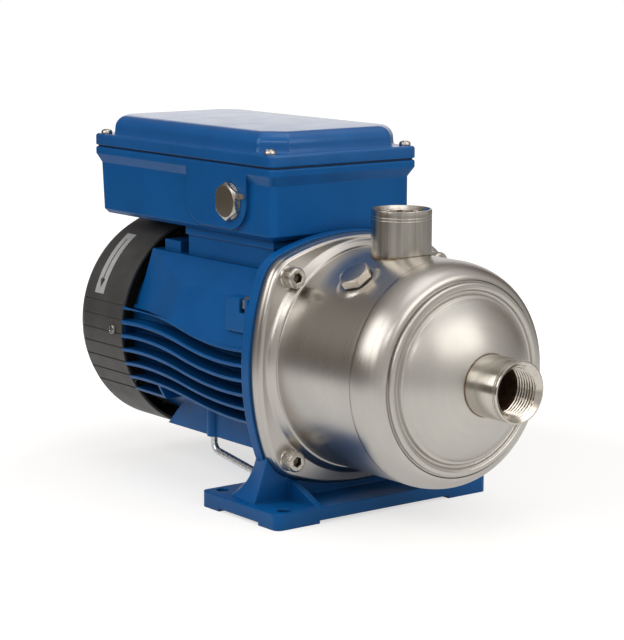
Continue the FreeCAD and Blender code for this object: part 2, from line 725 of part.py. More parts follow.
def make_end_cap():
    """Bead along the weld, then a dome that is part of a sphere."""
    seam = size.cap_radius - size.fit_gap
    start = size.shoulder_front - size.sheet_wall
    bead = size.shoulder_front + size.bead_height
    hole = size.port_radius + size.fit_gap
    foot = size.dome_centre + chord_half(size.dome_radius, size.dome_foot_radius)
    top = size.dome_centre + chord_half(size.dome_radius, hole)
    body = new_body("casing_end_cap")
    revolve(body, [
        (start, size.bead_inner_radius),
        (start, seam),
        (bead - size.bead_round, seam),
        (bead, seam - size.bead_round),
        (bead, size.bead_inner_radius + size.bead_round),
        (bead - size.bead_round, size.bead_inner_radius),
        (foot, size.dome_foot_radius),
        (foot - size.sheet_wall, size.dome_foot_radius - size.sheet_wall),
    ])
    sketch = new_sketch(body, "XZ_Plane")
    centre = Vector(number(size.dome_centre), 0, 0)
    low, high = [
        math.acos((number(x) - centre.x) / number(size.dome_radius)) for x in (top, foot)
    ]
    arc = sketch.addGeometry(
        Part.ArcOfCircle(Part.Circle(centre, Vector(0, 0, 1), number(size.dome_radius)), low, high)
    )
    fix_point(sketch, arc, 3, size.dome_centre, 0)
    dimension(sketch, "Radius", (arc,), size.dome_radius)
    dimension(sketch, "DistanceY", (-1, 1, arc, 1), hole)
    dimension(sketch, "DistanceY", (-1, 1, arc, 2), size.dome_foot_radius)
    inner_foot = size.dome_foot_radius - size.sheet_wall
    inner = [(foot - size.sheet_wall, inner_foot), (top - size.sheet_wall, hole)]
    close_with_lines(sketch, ((arc, 1), (arc, 2)), inner)
    dome = add_feature(body, "Revolution", sketch)
    dome.ReferenceAxis = (sketch, ["H_Axis"])
    keep(body, "casing_end_cap")


def port_outline(root, face):
    """Half section of a port, from its root to its mouth."""
    thread_end = face - size.thread_length
    return [
        (root, size.port_throat_radius),
        (root, size.port_radius),
        (face, size.port_radius),
        (face, size.mouth_radius),
        (face - size.mouth_depth, size.thread_radius),
        (thread_end, size.thread_radius),
        (thread_end, size.port_throat_radius),
    ]


def make_ports():
    turned_part("suction_port", port_outline(size.suction_root, size.suction_face))
    blank = doc.addObject("PartDesign::Body", "discharge_blank")
    place(blank, x=size.discharge_x, z=size.shaft_height, turn=Rotation(Vector(0, 1, 0), -90))
    revolve(blank, port_outline(size.barrel_radius - 6, size.discharge_top))
    barrel = doc.addObject("Part::Cylinder", "barrel_outside")
    bind(barrel, "Radius", size.barrel_radius)
    bind(barrel, "Height", size.shoulder_start)
    place(barrel, z=size.shaft_height, turn=Rotation(Vector(0, 1, 0), 90))
    port = doc.addObject("Part::Cut", "discharge_port")
    port.Base = blank
    port.Tool = barrel
    keep(port, "discharge_port")


def plug_places():
    return (("fill", size.plug_x, size.plug_angle), ("drain", size.drain_x, size.drain_angle))


def make_plugs():
    """Fill and drain plugs, alike, each on its sealing ring."""
    seat = size.barrel_radius + size.plug_boss_height
    plugs, rings = [], []
    for name, x, angle in plug_places():
        ring = doc.addObject("PartDesign::Body", f"{name}_ring")
        plug_place(ring, x, angle, seat)
        sketch = new_sketch(ring, "XY_Plane")
        add_circle(sketch, 0, 0, size.plug_seal_radius)
        add_circle(sketch, 0, 0, size.plug_thread_radius)
        pad(ring, sketch, size.plug_seal_thickness)
        rings.append(ring)
        plug = doc.addObject("PartDesign::Body", f"{name}_hexagon")
        plug_place(plug, x, angle, seat + size.plug_seal_thickness)
        sketch = new_sketch(plug, "XY_Plane")
        add_hexagon(sketch, Dim(0, "0"), Dim(0, "0"), size.plug_flats)
        pad(plug, sketch, size.plug_head_height)
        sketch = new_sketch(plug, "XY_Plane")
        add_circle(sketch, 0, 0, size.plug_thread_radius)
        pad(plug, sketch, size.plug_seal_thickness + 8, backwards=True)
        plugs.append(plug)
    for label, shapes in (("casing_plugs", plugs), ("plug_seals", rings)):
        group = doc.addObject("Part::Compound", label)
        group.Links = shapes
        keep(group, label)


def make_casing_screws():
    washer_front = flange_front + size.washer_thickness
    screws = new_flange_body("casing_screws")
    sketch = new_sketch(screws, "YZ_Plane", washer_front)
    add_circle(sketch, size.bolt_offset, size.bolt_offset, size.bolt_head_radius)
    head = pad(screws, sketch, size.bolt_head_height)
    sketch = new_sketch(screws, "YZ_Plane", washer_front)
    add_circle(sketch, size.bolt_offset, size.bolt_offset, size.bolt_radius)
    shank = pad(screws, sketch, size.bolt_grip, backwards=True)
    sketch = new_sketch(screws, "YZ_Plane", washer_front + size.bolt_head_height)
    add_hexagon(sketch, size.bolt_offset, size.bolt_offset, size.bolt_socket)
    socket = pocket(screws, sketch, size.bolt_head_height / 2)
    pattern = repeat_round(screws, head, "X_Axis", 4)
    pattern.Originals = [head, shank, socket]
    keep(screws, "casing_screws")
    washers = new_flange_body("casing_washers")
    sketch = new_sketch(washers, "YZ_Plane", flange_front)
    add_circle(sketch, size.bolt_offset, size.bolt_offset, size.washer_radius)
    add_circle(sketch, size.bolt_offset, size.bolt_offset, size.bolt_radius + size.fit_gap)
    ring = pad(washers, sketch, size.washer_thickness)
    repeat_round(washers, ring, "X_Axis", 4)
    keep(washers, "casing_washers")


# Hydraulic stack

stack_front = size.stack_rear + 3 * size.stage_pitch


def make_stack():
    neck_hole = size.eye_radius + size.running_gap
    for stage in range(3):
        rear = stack_front - (stage + 1) * size.stage_pitch
        floor = rear + size.sheet_wall
        turned_part(f"stage_casing_{stage + 1}", [
            (rear, neck_hole),
            (rear, size.stage_radius),
            (rear + size.stage_pitch, size.stage_radius),
            (rear + size.stage_pitch, size.stage_radius - size.sheet_wall),
            (floor, size.stage_radius - size.sheet_wall),
            (floor, neck_hole),
        ])
        plate = floor + 4
        turned_part(f"impeller_{stage + 1}", [
            (plate, size.shaft_pump_radius),
            (plate, size.impeller_radius),
            (plate + size.impeller_width, size.impeller_radius),
            (plate + size.impeller_width, size.eye_radius),
            (plate + size.stage_pitch, size.eye_radius),
            (plate + size.stage_pitch, size.shaft_pump_radius),
        ])
    turned_part("inlet_cover", [
        (stack_front, neck_hole),
        (stack_front, size.stage_radius),
        (stack_front + size.sheet_wall, size.stage_radius),
        (stack_front + size.sheet_wall, neck_hole + size.sheet_wall),
        (size.suction_root, neck_hole + size.sheet_wall),
        (size.suction_root, neck_hole),
    ])


def make_seal():
    plate_front = size.adapter_face + size.seal_plate_thickness
    turned_part("seal_plate", [
        (size.adapter_face, size.seal_radius),
        (size.adapter_face, size.seal_plate_radius),
        (plate_front, size.seal_plate_radius),
        (plate_front, size.seal_radius),
    ])
    turned_part("mechanical_seal", [
        (size.adapter_face, size.shaft_pump_radius + size.fit_gap),
        (size.adapter_face, size.seal_radius),
        (size.adapter_face + size.seal_length, size.seal_radius),
        (size.adapter_face + size.seal_length, size.shaft_pump_radius + size.fit_gap),
    ])


# Shaft, bearings and rotor

drive_bearing_front = size.drive_bearing_rear + size.drive_bearing_width
rear_bearing_rear = size.rear_bearing_front - size.rear_bearing_width
stator_front = size.stator_rear + size.stator_length
impeller_nut_rear = size.stack_rear + size.sheet_wall + 4 + 3 * size.stage_pitch


def make_shaft():
    nut_length = 8
    turned_part("pump_shaft", [
        (impeller_nut_rear + nut_length + 2, 0),
        (impeller_nut_rear + nut_length + 2, size.shaft_pump_radius),
        (drive_bearing_front + 4, size.shaft_pump_radius),
        (drive_bearing_front + 4, size.shaft_seat_radius),
        (size.drive_bearing_rear, size.shaft_seat_radius),
        (size.drive_bearing_rear, size.shaft_core_radius),
        (size.rear_bearing_front, size.shaft_core_radius),
        (size.rear_bearing_front, size.shaft_rear_radius),
        (rear_bearing_rear - 2, size.shaft_rear_radius),
        (rear_bearing_rear - 2, size.shaft_fan_radius),
        (size.fan_front - size.fan_hub_length - 3, size.shaft_fan_radius),
        (size.fan_front - size.fan_hub_length - 3, 0),
    ])
    nut = new_body("impeller_nut")
    sketch = new_sketch(nut, "YZ_Plane", impeller_nut_rear)
    add_hexagon(sketch, Dim(0, "0"), Dim(0, "0"), size.shaft_pump_radius * 3)
    add_circle(sketch, 0, 0, size.shaft_pump_radius)
    pad(nut, sketch, nut_length)
    keep(nut, "impeller_nut")


def make_bearing(label, rear, front, outer, bore):
    """A closed bearing as one ring; the shaft turns in its bore."""
    inner = bore + size.fit_gap
    turned_part(label, [(rear, inner), (rear, outer), (front, outer), (front, inner)])


def make_motor_inside():
    make_bearing(
        "drive_bearing", size.drive_bearing_rear, drive_bearing_front,
        size.drive_bearing_radius, size.shaft_seat_radius,
    )
    make_bearing(
        "rear_bearing", rear_bearing_rear, size.rear_bearing_front,
        size.rear_bearing_radius, size.shaft_rear_radius,
    )
    turned_part("stator_core", [
        (size.stator_rear, size.stator_bore),
        (size.stator_rear, size.frame_bore),
        (stator_front, size.frame_bore),
        (stator_front, size.stator_bore),
    ])
    windings = new_body("stator_windings")
    for start in (size.stator_rear - size.winding_overhang, stator_front):
        sketch = new_sketch(windings, "YZ_Plane", start)
        add_circle(sketch, 0, 0, size.winding_outer)
        add_circle(sketch, 0, 0, size.winding_inner)
        pad(windings, sketch, size.winding_overhang)
    keep(windings, "stator_windings")
    rotor_radius = size.stator_bore - size.air_gap
    turned_part("rotor_core", [
        (size.stator_rear - size.rotor_overhang, size.shaft_core_radius),
        (size.stator_rear - size.rotor_overhang, rotor_radius),
        (stator_front + size.rotor_overhang, rotor_radius),
        (stator_front + size.rotor_overhang, size.shaft_core_radius),
    ])


def make_fan():
    fan = new_body("cooling_fan")
    fan_rear = size.fan_front - size.fan_hub_length
    hub_radius = size.shaft_fan_radius + size.fan_hub_wall
    revolve(fan, [
        (fan_rear, size.shaft_fan_radius),
        (fan_rear, hub_radius),
        (size.fan_front - size.fan_disc, hub_radius),
        (size.fan_front - size.fan_disc, size.fan_radius - 2),
        (size.fan_front, size.fan_radius - 2),
        (size.fan_front, size.shaft_fan_radius),
    ])
    sketch = new_sketch(fan, "YZ_Plane", fan_rear)
    add_rectangle(sketch, Dim(-1, "-1"), Dim(1, "1"), hub_radius - 1, size.fan_radius)
    blade = pad(fan, sketch, size.fan_hub_length)
    repeat_round(fan, blade, "X_Axis", size.fan_blades)
    keep(fan, "cooling_fan")


# Adapter with foot

# Flare of the pedestal from the plate up: share of its height, then half the front, the side corner
# and the rear corner, as shares of the foot's width and length
PEDESTAL_LEVELS = (
    (0, 0.47, -0.225, 0.454, -0.498, 0.302),
    (0.15, 0.457, -0.166, 0.431, -0.38, 0.302),
    (0.43, 0.436, -0.118, 0.403, -0.249, 0.305),
    (1, 0.4, -0.083, 0.381, -0.142, 0.308),
)


def make_adapter():
    adapter_rear = size.adapter_face - size.adapter_thickness
    square = new_flange_body("adapter_square")
    sketch = new_sketch(square, "YZ_Plane", adapter_rear)
    add_rounded_square(
        sketch,
        size.flange_half + size.adapter_extra,
        size.flange_side_radius + size.adapter_extra,
        size.flange_corner_radius + size.adapter_extra,
    )
    pad(square, sketch, size.adapter_thickness)
    spigot = size.frame_bore - size.fit_gap
    housing_rear = adapter_rear - size.housing_length
    housing = new_body("adapter_housing")
    revolve(housing, [
        (adapter_rear + 1, 0),
        (adapter_rear + 1, spigot),
        (adapter_rear - size.spigot_length, spigot),
        (adapter_rear - size.spigot_length, size.housing_radius),
        (housing_rear, size.housing_radius),
        (housing_rear, 0),
    ])
    whole = doc.addObject("Part::MultiFuse", "adapter_with_foot")
    whole.Shapes = [square, housing, make_foot()]
    bracket = doc.addObject("Part::Cut", "adapter_bracket")
    bracket.Base = whole
    bracket.Tool = make_adapter_holes(adapter_rear, housing_rear)
    keep(bracket, "adapter_bracket")


def make_adapter_holes(adapter_rear, housing_rear):
    """Seat of the bearing, and tapped holes for the casing screws and the studs of the motor frame."""
    holes = new_body("adapter_holes")
    revolve(holes, [
        (size.adapter_face + 1, 0),
        (size.adapter_face + 1, size.drive_bearing_radius),
        (size.adapter_face - 5, size.drive_bearing_radius),
        (size.adapter_face - 5, size.shaft_seat_radius + 1),
        (drive_bearing_front, size.shaft_seat_radius + 1),
        (drive_bearing_front, size.drive_bearing_radius),
        (housing_rear - 1, size.drive_bearing_radius),
        (housing_rear - 1, 0),
    ])
    sketch = new_sketch(holes, "YZ_Plane", adapter_rear - 1)
    for y, z in bolt_places():
        add_circle(sketch, y, z - size.flange_drop, size.bolt_radius + size.fit_gap)
    pad(holes, sketch, size.pedestal_front + 8 - adapter_rear)
    sketch = new_sketch(holes, "YZ_Plane", adapter_rear - 1)
    for y, z in frame_screw_places():
        add_circle(sketch, y, z, size.frame_screw_radius + size.fit_gap)
    pad(holes, sketch, 7.2)
    return holes


def make_foot():
    """Foot plate, its pads, the flared pedestal and the gussets."""
    body = new_body("foot_blank", on_shaft=False)
    plate_top = size.foot_pad_height + size.foot_plate
    half_x = size.foot_length / 2
    half_y = size.foot_width / 2
    sketches = []
    for share, front_half, side_x, side_half, rear_x, rear_half in PEDESTAL_LEVELS:
        height = plate_top + (size.pedestal_top - plate_top) * share
        sketch = new_sketch(body, "XY_Plane", height)
        add_outline(sketch, [
            (size.pedestal_front, -(size.foot_width * front_half)),
            (size.pedestal_front, size.foot_width * front_half),
            (size.foot_length * side_x, size.foot_width * side_half),
            (size.foot_length * rear_x, size.foot_width * rear_half),
            (size.foot_length * rear_x, -(size.foot_width * rear_half)),
            (size.foot_length * side_x, -(size.foot_width * side_half)),
        ])
        sketches.append(sketch)
    loft = add_feature(body, "AdditiveLoft", sketches[0])
    loft.Sections = sketches[1:]
    sketch = new_sketch(body, "XY_Plane", size.foot_pad_height)
    add_rectangle(sketch, -half_x, half_x, -half_y, half_y, size.foot_round)
    pad(body, sketch, size.foot_plate)
    sketch = new_sketch(body, "XY_Plane")
    inner_x = half_x - size.foot_pad_length
    inner_y = half_y - size.foot_pad_width
    add_outline(sketch, [
        (inner_x, inner_y),
        (half_x, inner_y),
        (half_x, half_y, size.foot_round),
        (inner_x, half_y),
    ])
    add_outline(sketch, [
        (-half_x, inner_y),
        (-inner_x, inner_y),
        (-inner_x, half_y),
        (-half_x, half_y, size.foot_round),
    ])
    mirror(body, pad(body, sketch, size.foot_pad_height), "XZ_Plane")
    sketch = new_sketch(body, "XZ_Plane", size.gusset_offset)
    add_outline(sketch, [
        (size.pedestal_front - 1, plate_top - 1),
        (half_x - 1, plate_top - 1),
        (half_x - 1, plate_top),
        (size.pedestal_front, plate_top + size.gusset_height),
        (size.pedestal_front - 1, plate_top + size.gusset_height),
    ])
    mirror(body, pad(body, sketch, size.gusset_thickness), "XZ_Plane")
    sketch = new_sketch(body, "YZ_Plane", size.adapter_face)
    add_rounded_square(
        sketch,
        size.flange_half + size.running_gap,
        size.flange_side_radius + size.running_gap,
        size.flange_corner_radius + size.running_gap,
        size.shaft_height - size.flange_drop,
    )
    pocket(body, sketch, backwards=True)
    sketch = new_sketch(body, "YZ_Plane", size.adapter_face - size.adapter_thickness)
    wide = size.wire_half + size.wire_radius + 1
    add_rectangle(sketch, -wide, wide, plate_top, size.pedestal_top + 5)
    pocket(body, sketch)
    sketch = new_sketch(body, "XY_Plane")
    wall = size.foot_hollow_wall
    hollow_half = half_y - size.foot_pad_width / 2
    add_rectangle(sketch, -(half_x - 2 * wall), size.pedestal_front - wall, -hollow_half, hollow_half)
    pocket(body, sketch, size.foot_pad_height + size.foot_plate / 2, backwards=True)
    sketch = new_sketch(body, "XY_Plane")
    for side_x in (1, -1):
        for side_y in (1, -1):
            x, y = (half_x - size.foot_hole_end) * side_x, (half_y - size.foot_hole_side) * side_y
            add_circle(sketch, x, y, size.foot_hole_radius)
    pocket(body, sketch, backwards=True)
    return body


# Motor frame

frame_front = size.adapter_face - size.adapter_thickness


def add_wave(sketch, start, end, crest):
    """One edge of a fin from start to end: a crest arc and, past the middle, a trough arc."""
    length = size.fin_trough_x - size.fin_crest_x
    radius = Dim(
        (number(length) ** 2 + number(size.fin_pitch) ** 2) / (4 * number(size.fin_pitch)),
        f"({formula(length)}^2 + {formula(size.fin_pitch)}^2) / (4 * {formula(size.fin_pitch)})",
    )
    middle = (size.fin_crest_x + size.fin_trough_x) / 2
    crest_centre = Vector(number(size.fin_crest_x), number(crest - radius), 0)
    axis = Vector(0, 0, 1)
    on_crest_only = number(end) < number(middle)
    places = (number(end if on_crest_only else middle), number(start))
    angles = [math.acos((x - crest_centre.x) / number(radius)) for x in places]
    first = sketch.addGeometry(Part.ArcOfCircle(Part.Circle(crest_centre, axis, number(radius)), *angles))
    fix_point(sketch, first, 3, size.fin_crest_x, crest - radius)
    dimension(sketch, "Radius", (first,), radius)
    dimension(sketch, "DistanceX", (-1, 1, first, 2), start)
    dimension(sketch, "DistanceX", (-1, 1, first, 1), end if on_crest_only else middle)
    if on_crest_only:
        return (first, 2), (first, 1)
    trough_centre = Vector(number(size.fin_trough_x), number(crest - size.fin_pitch + radius), 0)
    places = (number(middle), number(end))
    angles = [-math.acos((x - trough_centre.x) / number(radius)) for x in places]
    second = sketch.addGeometry(Part.ArcOfCircle(Part.Circle(trough_centre, axis, number(radius)), *angles))
    sketch.addConstraint(Sketcher.Constraint("Tangent", first, 1, second, 1))
    dimension(sketch, "DistanceX", (-1, 1, second, 3), size.fin_trough_x)
    dimension(sketch, "DistanceX", (-1, 1, second, 2), end)
    return (first, 2), (second, 2)


def cut_channels(body):
    """Cuts what lies between, above and below the fins, right through; the core is put back afterwards."""
    behind = size.frame_rear - 5
    beyond = size.fin_tip_front + 10
    crest = size.fin_first
    sketch = new_sketch(body, "XZ_Plane")
    ends = add_wave(sketch, behind, size.fin_root_x, crest - size.fin_thickness)
    lower = add_wave(sketch, behind, size.fin_root_x, crest - size.fin_pitch)
    for upper_end, lower_end in zip(ends, lower):
        a = sketch.getPoint(*upper_end)
        b = sketch.getPoint(*lower_end)
        line = sketch.addGeometry(Part.LineSegment(a, b))
        sketch.addConstraint(Sketcher.Constraint("Coincident", line, 1, *upper_end))
        sketch.addConstraint(Sketcher.Constraint("Coincident", line, 2, *lower_end))
    channel = pocket(body, sketch, beyond * 2, symmetric=True)
    repeat_in_line(body, channel, "Z_Axis", size.fin_pitch * 4, 5, backwards=True)
    last_fin = crest - size.fin_pitch * 5 - size.fin_thickness
    short_fin = last_fin - size.fin_pitch + size.fin_thickness
    sketch = new_sketch(body, "XZ_Plane")
    channel_end = size.short_fin_end - size.fin_thickness
    ends = add_wave(sketch, behind, channel_end, last_fin)
    close_with_lines(sketch, ends, [(channel_end, short_fin), (behind, short_fin)])
    pocket(body, sketch, beyond * 2, symmetric=True)
    sketch = new_sketch(body, "XZ_Plane")
    ends = add_wave(sketch, size.short_fin_end, frame_front + 1, last_fin)
    under = short_fin - size.fin_thickness
    close_with_lines(sketch, ends, [
        (frame_front + 1, -beyond),
        (behind, -beyond),
        (behind, under),
        (size.short_fin_end, under),
    ])
    pocket(body, sketch, beyond * 2, symmetric=True)


def make_motor_frame():
    body = new_body("motor_frame")
    revolve(body, [
        (size.frame_rear, 0),
        (size.frame_rear, size.fin_tip_rear),
        (frame_front, size.fin_tip_front),
        (frame_front, 0),
    ])
    behind = size.frame_rear - 5
    beyond = size.fin_tip_front + 10
    sketch = new_sketch(body, "XZ_Plane")
    ends = add_wave(sketch, behind, frame_front + 1, size.fin_first)
    close_with_lines(sketch, ends, [(frame_front + 1, beyond), (behind, beyond)])
    pocket(body, sketch, beyond * 2, symmetric=True)
    add_upper_panel(body)
    cut_channels(body)
    add_skirt(body)
    revolve(body, [
        (size.frame_rear, 0),
        (size.frame_rear, size.core_radius),
        (frame_front, size.core_radius),
        (frame_front, 0),
    ])
    revolve(body, [
        (size.frame_rear, 0),
        (size.frame_rear, size.frame_bore),
        (frame_front, size.frame_bore),
        (frame_front, 0),
    ], kind="Groove")
    add_neck(body)
    add_frame_holes(body)
    keep(body, "motor_frame")


def add_upper_panel(body):
    """Flat top with slanted sides, cut off by a sloping plane on each side at the rear."""
    top = size.frame_top
    foot = top / 6
    right = [(top * 1.395, foot), (top * 1.217, top * 0.713), (top * 0.939, top)]
    left = [(-y, z) for y, z in reversed(right)]
    sketch = new_sketch(body, "YZ_Plane", size.panel_rear)
    add_outline(sketch, [(right[0][0], top * 0)] + right + left + [(left[-1][0], top * 0)])
    pad(body, sketch, frame_front - size.panel_rear)
    ramp = new_sketch(body, "XZ_Plane")
    ramp.AttachmentOffset = Placement(Vector(), Rotation(Vector(-0.319, -0.169, 0), number(size.ramp_tilt)))
    bind(ramp, "AttachmentOffset.Rotation.Angle", size.ramp_tilt)
    bind(ramp, "AttachmentOffset.Base.x", size.panel_rear)
    bind(ramp, "AttachmentOffset.Base.y", top)
    bind(ramp, "AttachmentOffset.Base.z", size.ramp_half)
    add_rectangle(ramp, Dim(-20, "-20"), Dim(90, "90"), -(top * 0.78), Dim(25, "25"))
    mirror(body, pocket(body, ramp, 40, backwards=True), "XZ_Plane")


def add_skirt(body):
    """Straight-sided skirt under the frame, hollow from below, with the bosses for the wire support."""
    low = -size.skirt_bottom
    rear = size.skirt_rear
    inner = size.frame_bore / 2
    sketch = new_sketch(body, "XZ_Plane")
    add_outline(sketch, [
        (rear, low),
        (frame_front, low),
        (frame_front, -inner),
        (rear + size.skirt_slant, -inner),
        (rear + size.skirt_slant, low + size.skirt_slant),
    ])
    pad(body, sketch, size.skirt_half * 2, symmetric=True)
    sketch = new_sketch(body, "XY_Plane", low)
    for side in (1, -1):
        add_circle(sketch, size.wire_x, size.wire_half * side, size.wire_boss_radius)
    pad(body, sketch, size.skirt_bottom - inner)
    sketch = new_sketch(body, "XY_Plane", low)
    for side in (1, -1):
        add_circle(sketch, size.wire_x, size.wire_half * side, size.wire_radius + size.running_gap)
    pocket(body, sketch, size.wire_depth, backwards=True)


def add_neck(body):
    """Tab behind the neck, and the neck with its lip, open to the windings."""
    start = size.frame_top - size.neck_root
    sketch = new_sketch(body, "XY_Plane", start)
    tab_rear = size.neck_rear - size.tab_rear
    add_rectangle(sketch, tab_rear, size.neck_rear - size.tab_front, -size.neck_half, size.neck_half)
    pad(body, sketch, size.neck_top - start - size.tab_below_neck)
    sketch = new_sketch(body, "XY_Plane", start)
    add_rectangle(sketch, size.neck_rear, size.neck_front, -size.neck_half, size.neck_half)
    pad(body, sketch, size.neck_top - start)
    wide = size.neck_half + size.neck_lip
    sketch = new_sketch(body, "XY_Plane", size.neck_top - size.neck_lip_height)
    add_rectangle(sketch, size.neck_rear - size.neck_lip, size.neck_front + size.neck_lip, -wide, wide)
    pad(body, sketch, size.neck_lip_height)
    sketch = new_sketch(body, "XY_Plane", size.frame_bore / 2)
    add_rectangle(sketch, *opening_edges())
    pocket(body, sketch, backwards=True)
    sketch = new_sketch(body, "XY_Plane", size.neck_top)
    for x, y in box_screw_places():
        add_circle(sketch, x, y, size.box_screw_radius + size.fit_gap)
    pocket(body, sketch, size.box_screw_length)


def opening_edges():
    """The way for the leads from the windings into the terminal box."""
    half = size.neck_half * 0.6
    return size.neck_rear + size.opening_rear, size.neck_front - size.opening_front, -half, half


def box_screw_places():
    return [
        (x, (size.neck_half - size.box_screw_inset_y) * side)
        for x in (size.neck_rear + size.box_screw_inset_x, size.neck_front - size.box_screw_inset_x)
        for side in (1, -1)
    ]


def frame_screw_places():
    """Upper pair in the side blocks, lower pair in the skirt, seen along X."""
    upper = (size.frame_screw_y, size.frame_screw_z)
    lower = (size.skirt_half - 10, -(size.skirt_bottom - 5))
    return [(y * side, z) for y, z in (upper, lower) for side in (1, -1)]


def add_frame_holes(body):
    """Side blocks at the adapter, and notches and holes for the studs that hold the frame."""
    sketch = new_sketch(body, "XZ_Plane")
    low = size.frame_block_middle - size.frame_block_half
    high = size.frame_block_middle + size.frame_block_half
    add_rectangle(sketch, frame_front - size.frame_block, frame_front, low, high)
    pad(body, sketch, (size.frame_screw_y + 6) * 2, symmetric=True)
    revolve(body, [
        (size.frame_rear, 0),
        (size.frame_rear, size.frame_bore),
        (frame_front, size.frame_bore),
        (frame_front, 0),
    ], kind="Groove")
    half = size.frame_nut_flats / 2 + 1
    sketch = new_sketch(body, "XZ_Plane", size.frame_screw_y - half)
    low = size.frame_screw_z - half
    add_rectangle(sketch, size.frame_notch_rear, size.frame_notch_front, low, size.frame_screw_z + half + 1)
    mirror(body, pocket(body, sketch, half * 3, backwards=True), "XZ_Plane")
    lower_y, lower_z = frame_screw_places()[2]
    sketch = new_sketch(body, "XY_Plane", lower_z + half)
    add_rectangle(sketch, size.frame_notch_rear, size.frame_notch_front, lower_y - half, lower_y + half)
    mirror(body, pocket(body, sketch, half * 3), "XZ_Plane")
    sketch = new_sketch(body, "YZ_Plane", size.frame_notch_rear)
    for y, z in frame_screw_places():
        add_circle(sketch, y, z, size.frame_screw_radius + size.fit_gap)
    pocket(body, sketch, backwards=True)


def make_frame_screws():
    """Studs in the adapter, each with its nut."""
    screws = new_body("frame_screws")
    nut_rear = size.frame_notch_front - size.frame_nut_height
    sketch = new_sketch(screws, "YZ_Plane", nut_rear)
    for y, z in frame_screw_places():
        add_hexagon(sketch, y, z, size.frame_nut_flats)
    pad(screws, sketch, size.frame_nut_height)
    sketch = new_sketch(screws, "YZ_Plane", size.frame_notch_rear + 0.2)
    for y, z in frame_screw_places():
        add_circle(sketch, y, z, size.frame_screw_radius)
    pad(screws, sketch, size.adapter_face - 2 - size.frame_notch_rear)
    keep(screws, "frame_screws")


# Rear end of the motor

lug_reach = size.cover_radius - size.cover_wall - size.running_gap


def make_rear_shield():
    body = new_body("rear_end_shield")
    plate_rear = size.frame_rear - 2.6
    housing_rear = rear_bearing_rear - 2
    revolve(body, [
        (plate_rear, 0),
        (plate_rear, size.core_radius),
        (size.frame_rear, size.core_radius),
        (size.frame_rear, size.frame_bore - size.fit_gap),
        (size.rear_bearing_front + 3, size.frame_bore - size.fit_gap),
        (size.rear_bearing_front + 3, 0),
    ])
    sketch = new_sketch(body, "YZ_Plane", housing_rear)
    add_circle(sketch, 0, 0, size.rear_bearing_radius + 5)
    pad(body, sketch, size.frame_rear - housing_rear)
    sketch = new_sketch(body, "YZ_Plane", size.cover_screw_x - 6)
    add_rectangle(sketch, -lug_reach, -(size.core_radius - 2), Dim(-7, "-7"), Dim(7, "7"))
    lug = pad(body, sketch, size.frame_rear - size.cover_screw_x + 6)
    sketch = new_sketch(body, "XZ_Plane", size.core_radius - 2)
    add_circle(sketch, size.cover_screw_x, 0, size.cover_screw_shank + size.fit_gap)
    hole = pocket(body, sketch, backwards=True)
    half_turn(body, [lug, hole])
    revolve(body, [
        (size.rear_bearing_front + 4, 0),
        (size.rear_bearing_front + 4, size.rear_bearing_radius),
        (rear_bearing_rear, size.rear_bearing_radius),
        (rear_bearing_rear, size.shaft_rear_radius + 1),
        (housing_rear, size.shaft_rear_radius + 1),
        (housing_rear, 0),
    ], kind="Groove")
    keep(body, "rear_end_shield")


def half_turn(item, originals):
    """Three of something: at the -Y side, below and at the +Y side."""
    pattern = add_feature(item, "PolarPattern")
    pattern.Originals = originals
    pattern.Axis = (origin_of(item, "X_Axis"), [""])
    pattern.Angle = 180
    pattern.Occurrences = 3
    item.Tip = pattern


def make_fan_cover():
    body = new_body("fan_cover")
    front = size.frame_rear
    straight = size.cover_rear + size.cover_round
    inner = size.cover_radius - size.cover_wall
    under = size.cover_radius - size.groove_depth
    revolve(body, [
        (front, 0),
        (front, size.cover_radius),
        (straight, size.cover_radius),
        (straight - size.cover_round * 0.7, size.cover_radius - size.cover_round * 0.3),
        (size.cover_rear, size.cover_radius - size.cover_round),
        (size.cover_rear, 0),
    ])
    sketch = new_sketch(body, "XZ_Plane")
    half = size.groove_width / 2
    first = size.fin_first - size.fin_thickness / 2
    add_rectangle(sketch, straight, front + 1, first - half, first + half)
    groove = pocket(body, sketch, size.cover_radius * 3, symmetric=True)
    repeat_in_line(body, groove, "Z_Axis", size.fin_pitch * 6, 7, backwards=True)
    revolve(body, [(front, 0), (front, under), (straight, under), (straight, 0)])
    revolve(body, [
        (front, 0),
        (front, inner),
        (straight, inner),
        (size.cover_rear + size.cover_wall, inner - size.cover_round + 1),
        (size.cover_rear + size.cover_wall, 0),
    ], kind="Groove")
    sketch = new_sketch(body, "YZ_Plane", size.cover_rear)
    half = size.grille_slot / 2
    add_rectangle(sketch, -half, half, size.grille_inner, size.grille_outer)
    slot = pocket(body, sketch, size.cover_wall * 2, backwards=True)
    repeat_round(body, slot, "X_Axis", size.grille_slots)
    sketch = new_sketch(body, "XZ_Plane", size.core_radius)
    add_circle(sketch, size.cover_screw_x, 0, size.cover_screw_shank + size.running_gap)
    hole = pocket(body, sketch, backwards=True)
    half_turn(body, [hole])
    keep(body, "fan_cover")


def make_cover_screws():
    screws = new_body("fan_cover_screws")
    sketch = new_sketch(screws, "XZ_Plane", size.cover_radius)
    add_circle(sketch, size.cover_screw_x, 0, size.cover_screw_radius)
    head = pad(screws, sketch, 2.2)
    sketch = new_sketch(screws, "XZ_Plane", size.cover_radius)
    add_circle(sketch, size.cover_screw_x, 0, size.cover_screw_shank)
    shank = pad(screws, sketch, size.cover_screw_length, backwards=True)
    half_turn(screws, [head, shank])
    keep(screws, "fan_cover_screws")


